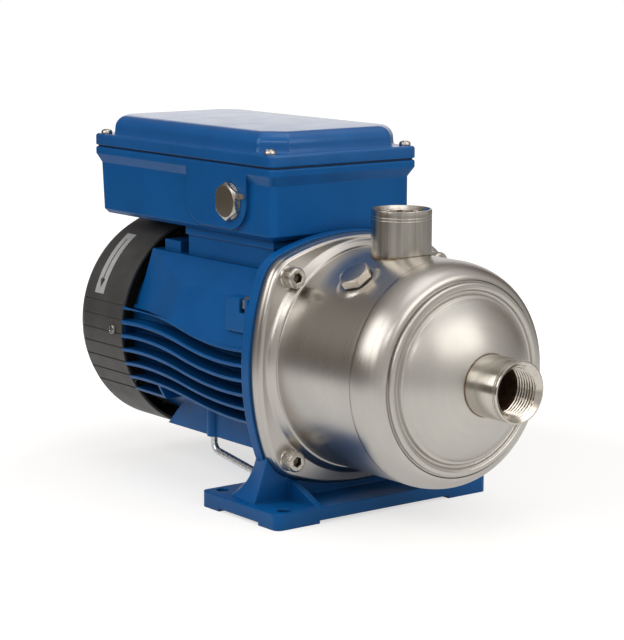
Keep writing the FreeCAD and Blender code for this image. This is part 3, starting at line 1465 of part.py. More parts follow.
def make_direction_label():
    """Thin label that follows the fan cover on the -Y side."""
    label = doc.addObject("PartDesign::Body", "direction_label")
    label.Placement = Placement(Vector(), Rotation(Vector(1, 0, 0), 90 - number(size.label_low)))
    bind(label, "Placement.Rotation.Angle", 90 - size.label_low)
    bind(label, "Placement.Base.z", size.shaft_height)
    made = revolve(label, [
        (size.label_rear, size.cover_radius),
        (size.label_rear, size.cover_radius + size.label_thickness),
        (size.label_front, size.cover_radius + size.label_thickness),
        (size.label_front, size.cover_radius),
    ], angle=size.label_sweep)
    made.Reversed = True
    keep(label, "direction_label")


# Terminal box


lid_half = size.box_half + size.lid_overhang
box_flange_top = size.box_flange_base + size.box_flange
lid_base = box_flange_top + size.gasket_thickness


def box_edges(inset_x, inset_y):
    """Edges of the flange and the lid, drawn in by these distances."""
    half = lid_half - inset_y
    return size.lid_rear + inset_x, size.lid_front - inset_x, -half, half


def lid_screw_places():
    ends = (size.lid_screw_rear, size.lid_screw_front)
    return [(x, (lid_half - size.lid_screw_inset) * side) for x in ends for side in (1, -1)]


def make_terminal_box():
    body = new_body("terminal_box")
    floor = size.neck_top
    lower_rear = size.box_rear + size.box_draft
    bevel = size.box_floor_round
    sections = []
    for height, rear, inset in (
        (floor, lower_rear, bevel),
        (floor + bevel, lower_rear, 0),
        (size.box_flange_base - size.box_slope, size.box_rear, 0),
    ):
        sketch = new_sketch(body, "XY_Plane", height)
        half = size.box_half - inset
        add_rectangle(sketch, rear + inset, size.box_front - inset, -half, half, size.box_corner - inset)
        sections.append(sketch)
    walls = add_feature(body, "AdditiveLoft", sections[0])
    walls.Sections = sections[1:]
    walls.Ruled = True
    lower = sections[-1]
    upper = new_sketch(body, "XY_Plane", size.box_flange_base)
    add_rectangle(upper, *box_edges(0, 0), size.lid_corner)
    slope = add_feature(body, "AdditiveLoft", lower)
    slope.Sections = [upper]
    slope.Ruled = True
    sketch = new_sketch(body, "XY_Plane", size.box_flange_base)
    add_rectangle(sketch, *box_edges(0, 0), size.lid_corner)
    flange = pad(body, sketch, size.box_flange)
    bevel_edges(body, flange, size.box_flange_bevel, lambda middle, edge: near(middle.z, box_flange_top))
    sketch = new_sketch(body, "XZ_Plane", size.box_half - 1)
    half = size.entry_panel_half
    add_outline(sketch, [
        (size.entry_panel_x - half, size.entry_panel_bottom, size.entry_panel_round),
        (size.entry_panel_x + half, size.entry_panel_bottom, size.entry_panel_round),
        (size.entry_panel_x + half, size.box_flange_base),
        (size.entry_panel_x - half, size.box_flange_base),
    ])
    pad(body, sketch, size.lid_overhang + 1)
    wall = size.box_wall
    sketch = new_sketch(body, "XY_Plane", size.neck_top + wall)
    half = size.box_half - wall
    add_rectangle(sketch, lower_rear + wall, size.box_front - wall, -half, half, size.box_corner - wall)
    pocket(body, sketch, backwards=True)
    boss = size.lid_screw_boss
    sketch = new_sketch(body, "XY_Plane", box_flange_top)
    for side in (1, -1):
        edge = (size.box_half - 2) * side
        inner = (lid_half - size.lid_screw_inset - boss) * side
        low_y, high_y = (inner, edge) if side > 0 else (edge, inner)
        add_rectangle(sketch, size.lid_screw_rear - boss + 0.5, size.lid_screw_rear + boss, low_y, high_y)
        add_rectangle(sketch, size.lid_screw_front - boss, size.box_front - 2, low_y, high_y)
    pad(body, sketch, size.lid_screw_depth * 2, backwards=True)
    sketch = new_sketch(body, "XY_Plane", size.neck_top)
    add_rectangle(sketch, *opening_edges())
    pocket(body, sketch, wall * 2, backwards=True)
    sketch = new_sketch(body, "XY_Plane", size.neck_top)
    for x, y in box_screw_places():
        add_circle(sketch, x, y, size.box_screw_radius + size.fit_gap)
    pocket(body, sketch, wall * 2, backwards=True)
    sketch = new_sketch(body, "XY_Plane", box_flange_top)
    for x, y in lid_screw_places():
        add_circle(sketch, x, y, size.lid_screw_shank + size.fit_gap)
    pocket(body, sketch, size.lid_screw_depth)
    sketch = new_sketch(body, "XZ_Plane", size.box_half - wall * 2)
    add_circle(sketch, size.entry_x, size.entry_height, size.entry_thread_radius + size.fit_gap)
    pocket(body, sketch, backwards=True)
    keep(body, "terminal_box")


def make_gasket():
    gasket = new_body("terminal_box_gasket")
    sketch = new_sketch(gasket, "XY_Plane", box_flange_top)
    outer = size.gasket_inset
    inner = size.gasket_inset + size.gasket_width
    add_rectangle(sketch, *box_edges(outer, outer), size.lid_corner - outer)
    add_rectangle(sketch, *box_edges(inner, inner))
    pad(gasket, sketch, size.gasket_thickness)
    sketch = new_sketch(gasket, "XY_Plane", box_flange_top)
    for x, y in lid_screw_places():
        add_circle(sketch, x, y, size.lid_screw_shank + size.running_gap)
    pocket(gasket, sketch, backwards=True)
    keep(gasket, "terminal_box_gasket")


def cut_rectangle(sketch, inset):
    """The raised part of the lid drawn in by this distance: a rectangle with its corners cut off."""
    low_x, high_x = size.lid_raised_rear + inset, size.lid_raised_front - inset
    high_y = lid_half - size.lid_raised_inset - inset
    low_y = -high_y
    cut = size.lid_corner_cut
    add_outline(sketch, [
        (low_x + cut, low_y),
        (high_x - cut, low_y),
        (high_x, low_y + cut),
        (high_x, high_y - cut),
        (high_x - cut, high_y),
        (low_x + cut, high_y),
        (low_x, high_y - cut),
        (low_x, low_y + cut),
    ])


def make_lid():
    lid = new_body("terminal_box_lid")
    sketch = new_sketch(lid, "XY_Plane", lid_base)
    add_rectangle(sketch, *box_edges(0, 0), size.lid_corner)
    flange = pad(lid, sketch, size.lid_flange)
    flange_top = lid_base + size.lid_flange
    round_edges(lid, flange, size.lid_flange_round, lambda middle, edge: near(middle.z, flange_top))
    sketch = new_sketch(lid, "XY_Plane", lid_base)
    cut_rectangle(sketch, Dim(0, "0"))
    height = size.lid_flange + size.lid_raised_height
    raised = pad(lid, sketch, height)
    top = lid_base + height
    round_edges(lid, raised, size.lid_round, lambda middle, edge: near(middle.z, top))
    wall = size.lid_wall + 2
    sketch = new_sketch(lid, "XY_Plane", lid_base)
    cut_rectangle(sketch, wall)
    pocket(lid, sketch, height - wall, backwards=True)
    sketch = new_sketch(lid, "XY_Plane", lid_base)
    for x, y in lid_screw_places():
        add_circle(sketch, x, y, size.lid_screw_shank + size.running_gap)
    pocket(lid, sketch, backwards=True)
    keep(lid, "terminal_box_lid")
    screws = new_body("lid_screws")
    for radius, length, upwards in (
        (size.lid_screw_radius, 3, True),
        (size.lid_screw_shank, size.lid_flange + size.gasket_thickness + size.lid_screw_depth, False),
    ):
        sketch = new_sketch(screws, "XY_Plane", lid_base + size.lid_flange)
        for x, y in lid_screw_places():
            add_circle(sketch, x, y, radius)
        pad(screws, sketch, length, backwards=not upwards)
    keep(screws, "lid_screws")


def make_cable_entry():
    washer = new_body("cable_plug_washer")
    sketch = new_sketch(washer, "XZ_Plane", lid_half)
    add_circle(sketch, size.entry_x, size.entry_height, size.entry_flats / 2 + 1)
    pad(washer, sketch, size.entry_washer)
    sketch = new_sketch(washer, "XZ_Plane", lid_half)
    low = size.entry_height + size.entry_tag_low
    start = size.entry_x + size.entry_tag_start
    add_rectangle(sketch, start, size.entry_x + size.entry_tag_end, low, low + size.entry_tag_height)
    pad(washer, sketch, size.entry_washer)
    sketch = new_sketch(washer, "XZ_Plane", lid_half)
    add_circle(sketch, size.entry_x, size.entry_height, size.entry_thread_radius + size.fit_gap)
    pocket(washer, sketch, backwards=True)
    keep(washer, "cable_plug_washer")
    plug = new_body("cable_entry_plug")
    seat = lid_half + size.entry_washer
    sketch = new_sketch(plug, "XZ_Plane", seat)
    add_hexagon(sketch, size.entry_x, size.entry_height, size.entry_flats)
    pad(plug, sketch, size.entry_head)
    sketch = new_sketch(plug, "XZ_Plane", seat)
    add_circle(sketch, size.entry_x, size.entry_height, size.entry_thread_radius)
    pad(plug, sketch, 8, backwards=True)
    keep(plug, "cable_entry_plug")


def make_box_contents():
    floor = size.neck_top + size.box_wall
    screws = new_body("box_screws")
    head = (size.box_screw_radius * 1.9, size.box_screw_head, True)
    shank = (size.box_screw_radius, size.box_screw_length, False)
    for radius, length, upwards in (head, shank):
        sketch = new_sketch(screws, "XY_Plane", floor)
        for x, y in box_screw_places():
            add_circle(sketch, x, y, radius)
        pad(screws, sketch, length, backwards=not upwards)
    keep(screws, "box_screws")
    capacitor = new_body("run_capacitor")
    sketch = new_sketch(capacitor, "YZ_Plane", size.box_rear + size.capacitor_start)
    add_circle(sketch, size.box_half / 3, floor + size.capacitor_radius, size.capacitor_radius)
    pad(capacitor, sketch, size.capacitor_length)
    keep(capacitor, "run_capacitor")
    block = new_body("terminal_block")
    sketch = new_sketch(block, "XY_Plane", floor)
    rear = size.neck_rear - size.block_rear
    outer = -(size.box_half - size.block_outer)
    inner = -(size.box_half - size.block_inner)
    add_rectangle(sketch, rear, rear + size.block_length, outer, inner)
    pad(block, sketch, size.block_height)
    sketch = new_sketch(block, "XY_Plane", floor + size.block_height)
    add_rectangle(sketch, rear, rear + 2, outer, inner)
    rib = pad(block, sketch, size.block_height)
    repeat_in_line(block, rib, "X_Axis", size.block_length - 2, 5)
    keep(block, "terminal_block")


# Wire support under the motor


def make_wire():
    body = new_body("support_wire", on_shaft=False)
    rest = size.foot_pad_height + size.foot_plate + size.wire_radius
    front = size.wire_front
    run = front - size.wire_x
    low = size.shaft_height - size.skirt_bottom - size.wire_drop
    rise = low - rest
    slope = Dim(
        math.degrees(math.atan(number(rise) / number(run))),
        f"atan({formula(rise)} / {formula(run)})",
    )
    joint_x = (front + size.wire_x) / 2
    joint_z = rest + rise / 2
    top = size.shaft_height - size.skirt_bottom + size.wire_depth
    leg = new_sketch(body, "XZ_Plane", size.wire_half)
    points = [(size.wire_x, top), (size.wire_x, low, size.wire_bend), (joint_x, joint_z)]
    add_outline(leg, points, closed=False)
    section = new_sketch(body, "XY_Plane", top)
    add_circle(section, size.wire_x, -size.wire_half, size.wire_radius)
    first = add_feature(body, "AdditivePipe", section)
    first.Spine = (leg, [])
    cross = body.newObject("Sketcher::SketchObject", "support_wire_cross")
    cross.AttachmentSupport = [(origin_of(body, "XY_Plane"), "")]
    cross.MapMode = "FlatFace"
    cross.AttachmentOffset = Placement(Vector(), Rotation(Vector(0, 1, 0), number(slope)))
    bind(cross, "AttachmentOffset.Base.x", front)
    bind(cross, "AttachmentOffset.Base.z", rest)
    bind(cross, "AttachmentOffset.Rotation.Angle", slope)
    reach = run / 2 / cosine(slope)
    points = [(0, 0), (0, -size.wire_half, size.wire_bend), (-reach, -size.wire_half)]
    add_outline(cross, points, closed=False)
    section = new_sketch(body, "XZ_Plane")
    add_circle(section, front, rest, size.wire_radius)
    second = add_feature(body, "AdditivePipe", section)
    second.Spine = (cross, [])
    whole = mirror(body, first, "XZ_Plane")
    whole.Originals = [first, second]
    keep(body, "support_wire")


def finish_document():
    doc.recompute()
    for item in doc.Objects:
        if "Invalid" in item.State or "Error" in item.State:
            raise RuntimeError(f"{item.Label} failed: {item.State}")
    for item in sub_parts:
        if item.Shape.isNull() or not item.Shape.isValid():
            raise RuntimeError(f"{item.Label} has no valid shape")


make_casing()
make_end_cap()
make_ports()
make_plugs()
make_casing_screws()
make_stack()
make_seal()
make_shaft()
make_motor_inside()
make_fan()
make_adapter()
make_motor_frame()
make_frame_screws()
make_rear_shield()
make_fan_cover()
make_cover_screws()
make_direction_label()
make_terminal_box()
make_gasket()
make_lid()
make_cable_entry()
make_box_contents()
make_wire()
finish_document()

os.makedirs("parts", exist_ok=True)
for item in sub_parts:
    item.Shape.exportStep(f"parts/{item.Label}.step")
print(len(sub_parts), "sub-parts written")
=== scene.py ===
"""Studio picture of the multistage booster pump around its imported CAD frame.

Shapes are worked out in millimetres. Matrices, materials, lights and the camera are in metres.
"""

import json
import math

import bmesh
import bpy
from mathutils import Matrix, Vector


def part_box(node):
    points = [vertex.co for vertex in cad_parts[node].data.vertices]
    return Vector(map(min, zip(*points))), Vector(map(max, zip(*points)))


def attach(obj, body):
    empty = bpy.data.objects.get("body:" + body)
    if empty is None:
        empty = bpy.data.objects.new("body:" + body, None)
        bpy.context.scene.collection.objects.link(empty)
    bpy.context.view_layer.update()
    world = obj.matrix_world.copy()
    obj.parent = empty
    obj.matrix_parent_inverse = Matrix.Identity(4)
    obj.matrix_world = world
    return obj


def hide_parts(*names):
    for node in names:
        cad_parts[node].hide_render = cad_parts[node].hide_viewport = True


MM = 0.001
TURN = 2 * math.pi

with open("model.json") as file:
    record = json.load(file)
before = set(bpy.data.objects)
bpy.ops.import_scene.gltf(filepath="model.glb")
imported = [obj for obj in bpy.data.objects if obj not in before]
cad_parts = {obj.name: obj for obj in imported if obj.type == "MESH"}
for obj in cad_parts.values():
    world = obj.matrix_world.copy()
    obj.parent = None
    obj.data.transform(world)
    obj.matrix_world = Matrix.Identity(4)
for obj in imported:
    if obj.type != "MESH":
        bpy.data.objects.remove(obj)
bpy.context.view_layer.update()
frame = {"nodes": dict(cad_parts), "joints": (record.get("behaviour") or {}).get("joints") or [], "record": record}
nodes = frame["nodes"]
SHAFT_Z = frame["joints"][0]["pos_m"][2]
SHAFT = Matrix.Translation((0, 0, SHAFT_Z))


# Meshes


def link_object(name, data):
    made = bpy.data.objects.new(name, data)
    bpy.context.scene.collection.objects.link(made)
    return made


def finish_piece(name, work, material, smooth=35, merge=0.0):
    """Makes a mesh into a piece of the object, which rides on the frame.

    Edges that bend by more than smooth, in degrees, stay sharp. Points nearer to each other than
    merge, in metres, become one.
    """
    if merge:
        bmesh.ops.remove_doubles(work, verts=work.verts, dist=merge)
    bmesh.ops.recalc_face_normals(work, faces=work.faces)
    mesh = bpy.data.meshes.new(name)
    work.to_mesh(mesh)
    work.free()
    mesh.materials.append(material)
    for face in mesh.polygons:
        face.use_smooth = True
    if smooth:
        mesh.set_sharp_from_angle(angle=math.radians(smooth))
    piece = link_object(name, mesh)
    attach(piece, "frame")
    return piece


def face_material(piece, direction, least):
    """Gives the second material to faces that look in this direction: least is a cosine."""
    for face in piece.data.polygons:
        if face.normal.dot(direction) > least:
            face.material_index = 1


def at(place, x, y, z):
    """A point of this place, given in millimetres."""
    return place @ Vector((x * MM, y * MM, z * MM))


def turned(place, along, radius, angle):
    """A point at this angle about the X axis of this place."""
    return at(place, along, math.cos(angle) * radius, math.sin(angle) * radius)


def circle(count):
    return [TURN * k / count for k in range(count)]


def add_rings(work, rings, closed=False, first_cap=False, last_cap=False):
    """Joins rings of equally many points with faces. The faces look outwards where a ring turns
    anticlockwise about the direction in which the rings follow each other."""
    made = [[work.verts.new(point) for point in ring] for ring in rings]
    count = len(made[0])
    pairs = list(zip(made, made[1:])) + ([(made[-1], made[0])] if closed else [])
    for lower, upper in pairs:
        for index in range(count):
            after = (index + 1) % count
            work.faces.new((lower[index], lower[after], upper[after], upper[index]))
    if first_cap:
        work.faces.new(list(reversed(made[0])))
    if last_cap:
        work.faces.new(made[-1])
    return made


def lathe(work, profile, place, segments, closed=False):
    """Turns a profile of (along, radius) points about the X axis of this place."""
    angles = circle(segments)
    rings = []
    for along, radius in profile:
        rings.append([turned(place, along, radius, angle) for angle in angles])
    return add_rings(work, rings, closed=closed)


def round_profile(corners, steps=5):
    """Replaces each corner that has a third value by an arc of that radius."""
    points = []
    last = len(corners) - 1
    for index, corner in enumerate(corners):
        spot = Vector(corner[:2])
        if len(corner) < 3 or index in (0, last):
            points.append(spot)
            continue
        back = (Vector(corners[index - 1][:2]) - spot).normalized()
        ahead = (Vector(corners[index + 1][:2]) - spot).normalized()
        half = back.angle(ahead) / 2
        middle = spot + (back + ahead).normalized() * (corner[2] / math.sin(half))
        start = spot + back * (corner[2] / math.tan(half)) - middle
        sweep = start.angle_signed(spot + ahead * (corner[2] / math.tan(half)) - middle)
        for step in range(steps + 1):
            points.append(middle + Matrix.Rotation(-sweep * step / steps, 2) @ start)
    return points


def split_runs(points, longest):
    """Adds points so that no run of a profile is longer than this."""
    filled = [points[0]]
    for before, after in zip(points, points[1:]):
        parts = max(1, math.ceil((after - before).length / longest))
        filled += [before.lerp(after, part / parts) for part in range(1, parts + 1)]
    return filled


# Shader nodes

# A mix node's factor and two colours among its inputs, and its colour among its outputs
MIX_FACTOR, MIX_FIRST, MIX_SECOND = 0, 6, 7
MIX_COLOUR = 2


class Tree:
    """The nodes of a new material or world. An input is a value or another node's output."""

    def __init__(self, name, kind="materials"):
        self.owner = getattr(bpy.data, kind).new(name)
        self.owner.use_nodes = True
        self.nodes = self.owner.node_tree.nodes
        self.links = self.owner.node_tree.links
        self.nodes.clear()

    def put(self, value, slot):
        if isinstance(value, bpy.types.NodeSocket):
            self.links.new(value, slot)
        else:
            slot.default_value = value

    def add(self, kind, settings=None, **inputs):
        """Adds a node. A keyword is an input's name, or the letter i and an input's number."""
        node = self.nodes.new("ShaderNode" + kind)
        for key, value in (settings or {}).items():
            setattr(node, key, value)
        for key, value in inputs.items():
            number = key[0] == "i" and key[1:].isdigit()
            self.put(value, node.inputs[int(key[1:]) if number else key.replace("_", " ")])
        return node

    def math(self, operation, first, second=0.0):
        return self.add("Math", {"operation": operation}, i0=first, i1=second).outputs[0]

    def dot(self, first, second):
        node = self.add("VectorMath", {"operation": "DOT_PRODUCT"}, i0=first, i1=second)
        return node.outputs["Value"]

    def position(self):
        return self.add("TexCoord").outputs["Object"]

    def parts(self, vector):
        """The X, Y and Z of a vector."""
        return tuple(self.add("SeparateXYZ", Vector=vector).outputs)

    def noise(self, scale, detail, stretch=(1, 1, 1), roughness=0.5):
        """Noise with scale times stretch cells to a metre along each axis."""
        place = self.add("Mapping", Vector=self.position(), Scale=stretch).outputs[0]
        settings = {"Vector": place, "Scale": scale, "Detail": detail, "Roughness": roughness}
        return self.add("TexNoise", **settings).outputs["Fac"]

    def between(self, value, low, high, to_low=0.0, to_high=1.0, curve="LINEAR"):
        """Maps low to to_low and high to to_high, and holds those two outside the range."""
        settings = {"interpolation_type": curve}
        limits = {"i1": low, "i2": high, "i3": to_low, "i4": to_high}
        return self.add("MapRange", settings, i0=value, **limits).outputs[0]

    def spread(self, noise, low=0.0, high=1.0, half=0.2):
        """A noise as a value from low to high, which it reaches this far from its middle."""
        return self.between(noise, 0.5 - half, 0.5 + half, low, high)

    def mix(self, share, first, second):
        node = self.add("Mix", {"data_type": "RGBA"})
        self.put(share, node.inputs[MIX_FACTOR])
        for index, colour in ((MIX_FIRST, first), (MIX_SECOND, second)):
            plain = isinstance(colour, tuple)
            self.put((*colour, 1.0) if plain else colour, node.inputs[index])
        return node.outputs[MIX_COLOUR]

    def soften(self, radius, samples):
        """Rounds the look of sharp edges by this radius."""
        return self.add("Bevel", {"samples": samples}, Radius=radius).outputs[0]

    def bump(self, height, strength, distance=0.0002, soft=0.0, samples=4):
        """Bumps of this height, on edges that look rounded by the radius soft."""
        inputs = {"Height": height, "Strength": strength, "Distance": distance}
        if soft:
            inputs["Normal"] = self.soften(soft, samples)
        return self.add("Bump", **inputs).outputs[0]

    def edges(self, radius):
        """One at sharp edges, nought on faces."""
        plain = self.add("NewGeometry").outputs["Normal"]
        return self.between(self.dot(plain, self.soften(radius, 6)), 0.98, 0.75)

    def output(self, shader, kind="OutputMaterial"):
        self.add(kind, Surface=shader.outputs[0])
        return self.owner

    def surface(self, **inputs):
        return self.output(self.add("BsdfPrincipled", **inputs))


def scaled(colour, share):
    return tuple(min(1.0, value * share) for value in colour)


# Steel

# Brown of heat tint at the port welds, also used as painted shade in the shoulder's crease
WELD_BROWN_AND_SHADE = (0.26, 0.185, 0.11)
# Dark and pale stripes painted on the upright discharge port as reflections
REFLECTION_STRIPE_DARK = (0.3, 0.27, 0.235)
REFLECTION_STRIPE_PALE = (0.82, 0.8, 0.75)
THREAD_PALE = (0.66, 0.62, 0.56)
THREAD_DULL = (0.5, 0.42, 0.33)
THREAD_DEEP = (0.16, 0.075, 0.035)

# Cells to a metre of the fine lines that turning and drawing leave, along X, Y and Z
TURNED_X = (2200, 26, 26)
DRAWN_Z = (1500, 1500, 24)

# Where brown is painted on the steel, in metres: X at the shoulder, where it is painted shade in the crease,
# and where welding has browned it, X and distance from the shaft axis at the foot of the suction port, and Z at
# the foot of the discharge port
SHOULDER_PAINTED_SHADE = 0.0945
SUCTION_HEAT = 0.1405
DOME_HEAT = 0.0196
DISCHARGE_HEAT = 0.1715

# Between these places, in metres, the threads turn from bright to brown: X, and Z
SUCTION_FADE = (0.1512, 0.1478)
DISCHARGE_FADE = (0.2, 0.19)


def make_steel(name, colour, rough, lines, depth, contrast=0.05, layers=()):
    """Satin stainless steel: fine lines of turning or brushing, faint clouds and a fine grain.
    Layers are functions that take the tree and the colour so far, and give the next colour."""
    tree = Tree(name)
    strokes = tree.noise(1.0, 4, lines, roughness=0.65)
    cloud = tree.noise(14, 4, roughness=0.6)
    grain = tree.noise(2600, 2)
    base = tree.mix(
        tree.spread(strokes), scaled(colour, 1 - contrast), scaled(colour, 1 + contrast))
    base = tree.mix(tree.between(cloud, 0.35, 0.7, 0.0, 0.5), base, scaled(colour, 0.8))
    for layer in layers:
        base = layer(tree, base)
    roughness = tree.math(
        "ADD", tree.spread(cloud, rough - 0.03, rough + 0.04), tree.spread(strokes, -0.02, 0.02))
    height = tree.math("ADD", strokes, tree.math("MULTIPLY", grain, 0.5))
    normal = tree.bump(height, depth, distance=0.0001, soft=0.0003)
    return tree.surface(Base_Color=base, Metallic=1.0, Roughness=roughness, Normal=normal)


def painted_reflection_stripes(tree, base):
    """Darker and lighter stripes along the axis of a tube that stands upright: painted reflections."""
    stripes = tree.noise(1.0, 3, (150, 150, 3), roughness=0.6)
    base = tree.mix(tree.between(stripes, 0.5, 0.66, 0.0, 0.55), base, REFLECTION_STRIPE_DARK)
    return tree.mix(tree.between(stripes, 0.4, 0.3, 0.0, 0.6), base, REFLECTION_STRIPE_PALE)


def heat_tint_and_painted_shade(axis, start, reach):
    """Steel browned as far as reach from start: in metres along X or Z, or from the shaft axis where the
    axis is radius. At the port welds the brown is heat tint; at the shoulder's crease it is painted shade."""

    def paint(tree, base):
        x, y, z = tree.parts(tree.position())
        if axis == "radius":
            z = tree.math("SUBTRACT", z, SHAFT_Z)
            square = tree.math("ADD", tree.math("MULTIPLY", y, y), tree.math("MULTIPLY", z, z))
            place = tree.math("SQRT", square)
        else:
            place = {"x": x, "z": z}[axis]
        away = tree.math("ABSOLUTE", tree.math("SUBTRACT", place, start))
        wander = tree.math("MULTIPLY", tree.noise(160, 3), reach * 0.6)
        share = tree.between(tree.math("ADD", away, wander), reach * 0.4, reach * 1.3, 0.75, 0.0)
        return tree.mix(share, base, WELD_BROWN_AND_SHADE)

    return paint


def make_thread_steel(name, axis, bright, dark):
    """Thread flanks, bright at one place along X or Z, in metres, and deep brown at the other."""
    tree = Tree(name)
    place = dict(zip("xyz", tree.parts(tree.position())))[axis]
    base = tree.mix(tree.between(tree.noise(260, 4), 0.52, 0.7), THREAD_PALE, THREAD_DULL)
    base = tree.mix(tree.between(place, bright, dark), base, THREAD_DEEP)
    normal = tree.bump(tree.noise(1500, 2), 0.12)
    return tree.surface(Base_Color=base, Metallic=1.0, Roughness=0.2, Normal=normal)


# The brown band at the shoulder's crease is painted shade
steel_barrel = make_steel(
    "steel_barrel", (0.59, 0.565, 0.53), rough=0.3, lines=(900, 14, 14), depth=0.018,
    contrast=0.04, layers=[heat_tint_and_painted_shade("x", SHOULDER_PAINTED_SHADE, 0.0009)])
steel_dome = make_steel(
    "steel_dome", (0.62, 0.6, 0.56), rough=0.36, lines=(700, 20, 20), depth=0.04, contrast=0.03,
    layers=[heat_tint_and_painted_shade("radius", DOME_HEAT, 0.0012)])
steel_suction = make_steel(
    "steel_suction", (0.63, 0.6, 0.54), rough=0.2, lines=TURNED_X, depth=0.16, contrast=0.08,
    layers=[heat_tint_and_painted_shade("x", SUCTION_HEAT, 0.0012)])
steel_discharge = make_steel(
    "steel_discharge", (0.6, 0.575, 0.52), rough=0.23, lines=DRAWN_Z, depth=0.14, contrast=0.08,
    layers=[painted_reflection_stripes, heat_tint_and_painted_shade("z", DISCHARGE_HEAT, 0.0016)])
steel_plain = make_steel(
    "steel_plain", (0.5, 0.49, 0.47), rough=0.34, lines=(120, 120, 120), depth=0.1)
plug_side = make_steel(
    "plug_side", (0.66, 0.61, 0.53), rough=0.34, lines=(900, 900, 40), depth=0.3)
plug_top = make_steel(
    "plug_top", (0.5, 0.5, 0.5), rough=0.3, lines=(200, 200, 200), depth=0.2)
bronze_face = make_steel(
    "cable_plug_face", (0.36, 0.31, 0.25), rough=0.34, lines=(1400, 1400, 60), depth=0.25)
suction_thread = make_thread_steel("suction_thread_steel", "x", *SUCTION_FADE)
discharge_thread = make_thread_steel("discharge_thread_steel", "z", *DISCHARGE_FADE)


# Other materials

BLUE = (0.0018, 0.102, 0.345)
BLUE_WORN = (0.04, 0.19, 0.46)
BLUE_SHEEN = (0.5, 0.74, 1.0, 1)
LID_COAT = 0.75


def make_bore_steel():
    """Dull dark brown, in patches, in the bores behind the threads."""
    tree = Tree("steel_bore")
    patches = tree.spread(tree.noise(180, 4), half=0.15)
    base = tree.mix(patches, (0.05, 0.026, 0.014), (0.12, 0.062, 0.032))
    normal = tree.bump(tree.noise(900, 3), 0.4)
    return tree.surface(Base_Color=base, Metallic=0.4, Roughness=0.55, Normal=normal)


def make_weld():
    """Scorched and scaly bead of a weld."""
    tree = Tree("weld_bead")
    scales = tree.noise(900, 3)
    patches = tree.spread(scales, half=0.15)
    base = tree.mix(patches, (0.05, 0.035, 0.025), (0.3, 0.22, 0.15))
    normal = tree.bump(scales, 0.6, distance=0.0003)
    return tree.surface(Base_Color=base, Metallic=1.0, Roughness=0.42, Normal=normal)


def make_paint(name, colour, coat=0.0):
    """Paint with orange peel, paler where it is thin over an edge, and darker in the hollows with painted shade.
    A coat is thickest on faces that look up."""
    tree = Tree(name)
    base = tree.mix(tree.spread(tree.noise(30, 3)), scaled(colour, 0.9), scaled(colour, 1.08))
    patches = tree.spread(tree.noise(350, 4), half=0.12)
    worn = tree.math("MULTIPLY", tree.edges(0.0007), patches)
    base = tree.mix(tree.math("MULTIPLY", worn, 0.45), base, BLUE_WORN)
    # Painted shade: ambient occlusion darkens the colour in hollows and between the fins
    painted_hollow_shade = tree.add("AmbientOcclusion", {"samples": 6}, Distance=0.03).outputs["AO"]
    base = tree.mix(tree.between(painted_hollow_shade, 0.25, 0.75, 0.62, 0.0), base, scaled(colour, 0.18))
    roughness = tree.spread(tree.noise(45, 4), 0.3, 0.42)
    peel = tree.math("ADD", tree.noise(420, 2), tree.math("MULTIPLY", tree.noise(1500, 2), 0.4))
    normal = tree.bump(peel, 0.08, soft=0.0013, samples=8)
    if coat:
        upwards = tree.parts(tree.add("NewGeometry").outputs["Normal"])[2]
        coat = tree.between(upwards, 0.5, 0.95, 0.3, coat)
    return tree.surface(
        Base_Color=base, Roughness=roughness, Normal=normal, Specular_IOR_Level=0.42,
        Specular_Tint=BLUE_SHEEN, Coat_Weight=coat, Coat_Roughness=0.1, Coat_IOR=1.55)


def make_black_plastic():
    """Moulded plastic with a fine grain and dusty patches."""
    tree = Tree("black_plastic_cover")
    base = tree.mix(tree.spread(tree.noise(60, 4)), (0.05, 0.05, 0.05), (0.07, 0.069, 0.068))
    roughness = tree.spread(tree.noise(90, 4), 0.4, 0.5)
    normal = tree.bump(tree.noise(1800, 3), 0.22, distance=0.00015, soft=0.001, samples=6)
    return tree.surface(Base_Color=base, Roughness=roughness, Normal=normal)


def make_screw_metal(name, colour, rough):
    """Plated metal with darker spots and uneven gloss."""
    tree = Tree(name)
    base = tree.mix(tree.spread(tree.noise(420, 4), half=0.15), scaled(colour, 0.72), colour)
    roughness = tree.spread(tree.noise(700, 3), rough - 0.06, rough + 0.08)
    normal = tree.bump(tree.noise(1400, 3), 0.14, soft=0.0002)
    return tree.surface(Base_Color=base, Metallic=1.0, Roughness=roughness, Normal=normal)


def make_simple(name, dark, light, rough, metal=0.0, scale=200, depth=0.2):
    """Two shades in clouds with this many cells to a metre, and a grain five times finer."""
    tree = Tree(name)
    base = tree.mix(tree.spread(tree.noise(scale, 4)), dark, light)
    normal = tree.bump(tree.noise(scale * 5, 3), depth, soft=0.0004)
    return tree.surface(Base_Color=base, Metallic=metal, Roughness=rough, Normal=normal)


steel_bore = make_bore_steel()
weld_metal = make_weld()
blue_paint = make_paint("blue_paint_coat", BLUE)
lid_paint = make_paint("lid_paint_coat", BLUE, LID_COAT)
black_plastic = make_black_plastic()
zinc = make_screw_metal("zinc_screw", (0.66, 0.62, 0.56), 0.27)
wire_zinc = make_screw_metal("zinc_wire", (0.86, 0.88, 0.9), 0.3)
dark_screw = make_screw_metal("dark_screw", (0.3, 0.29, 0.27), 0.3)
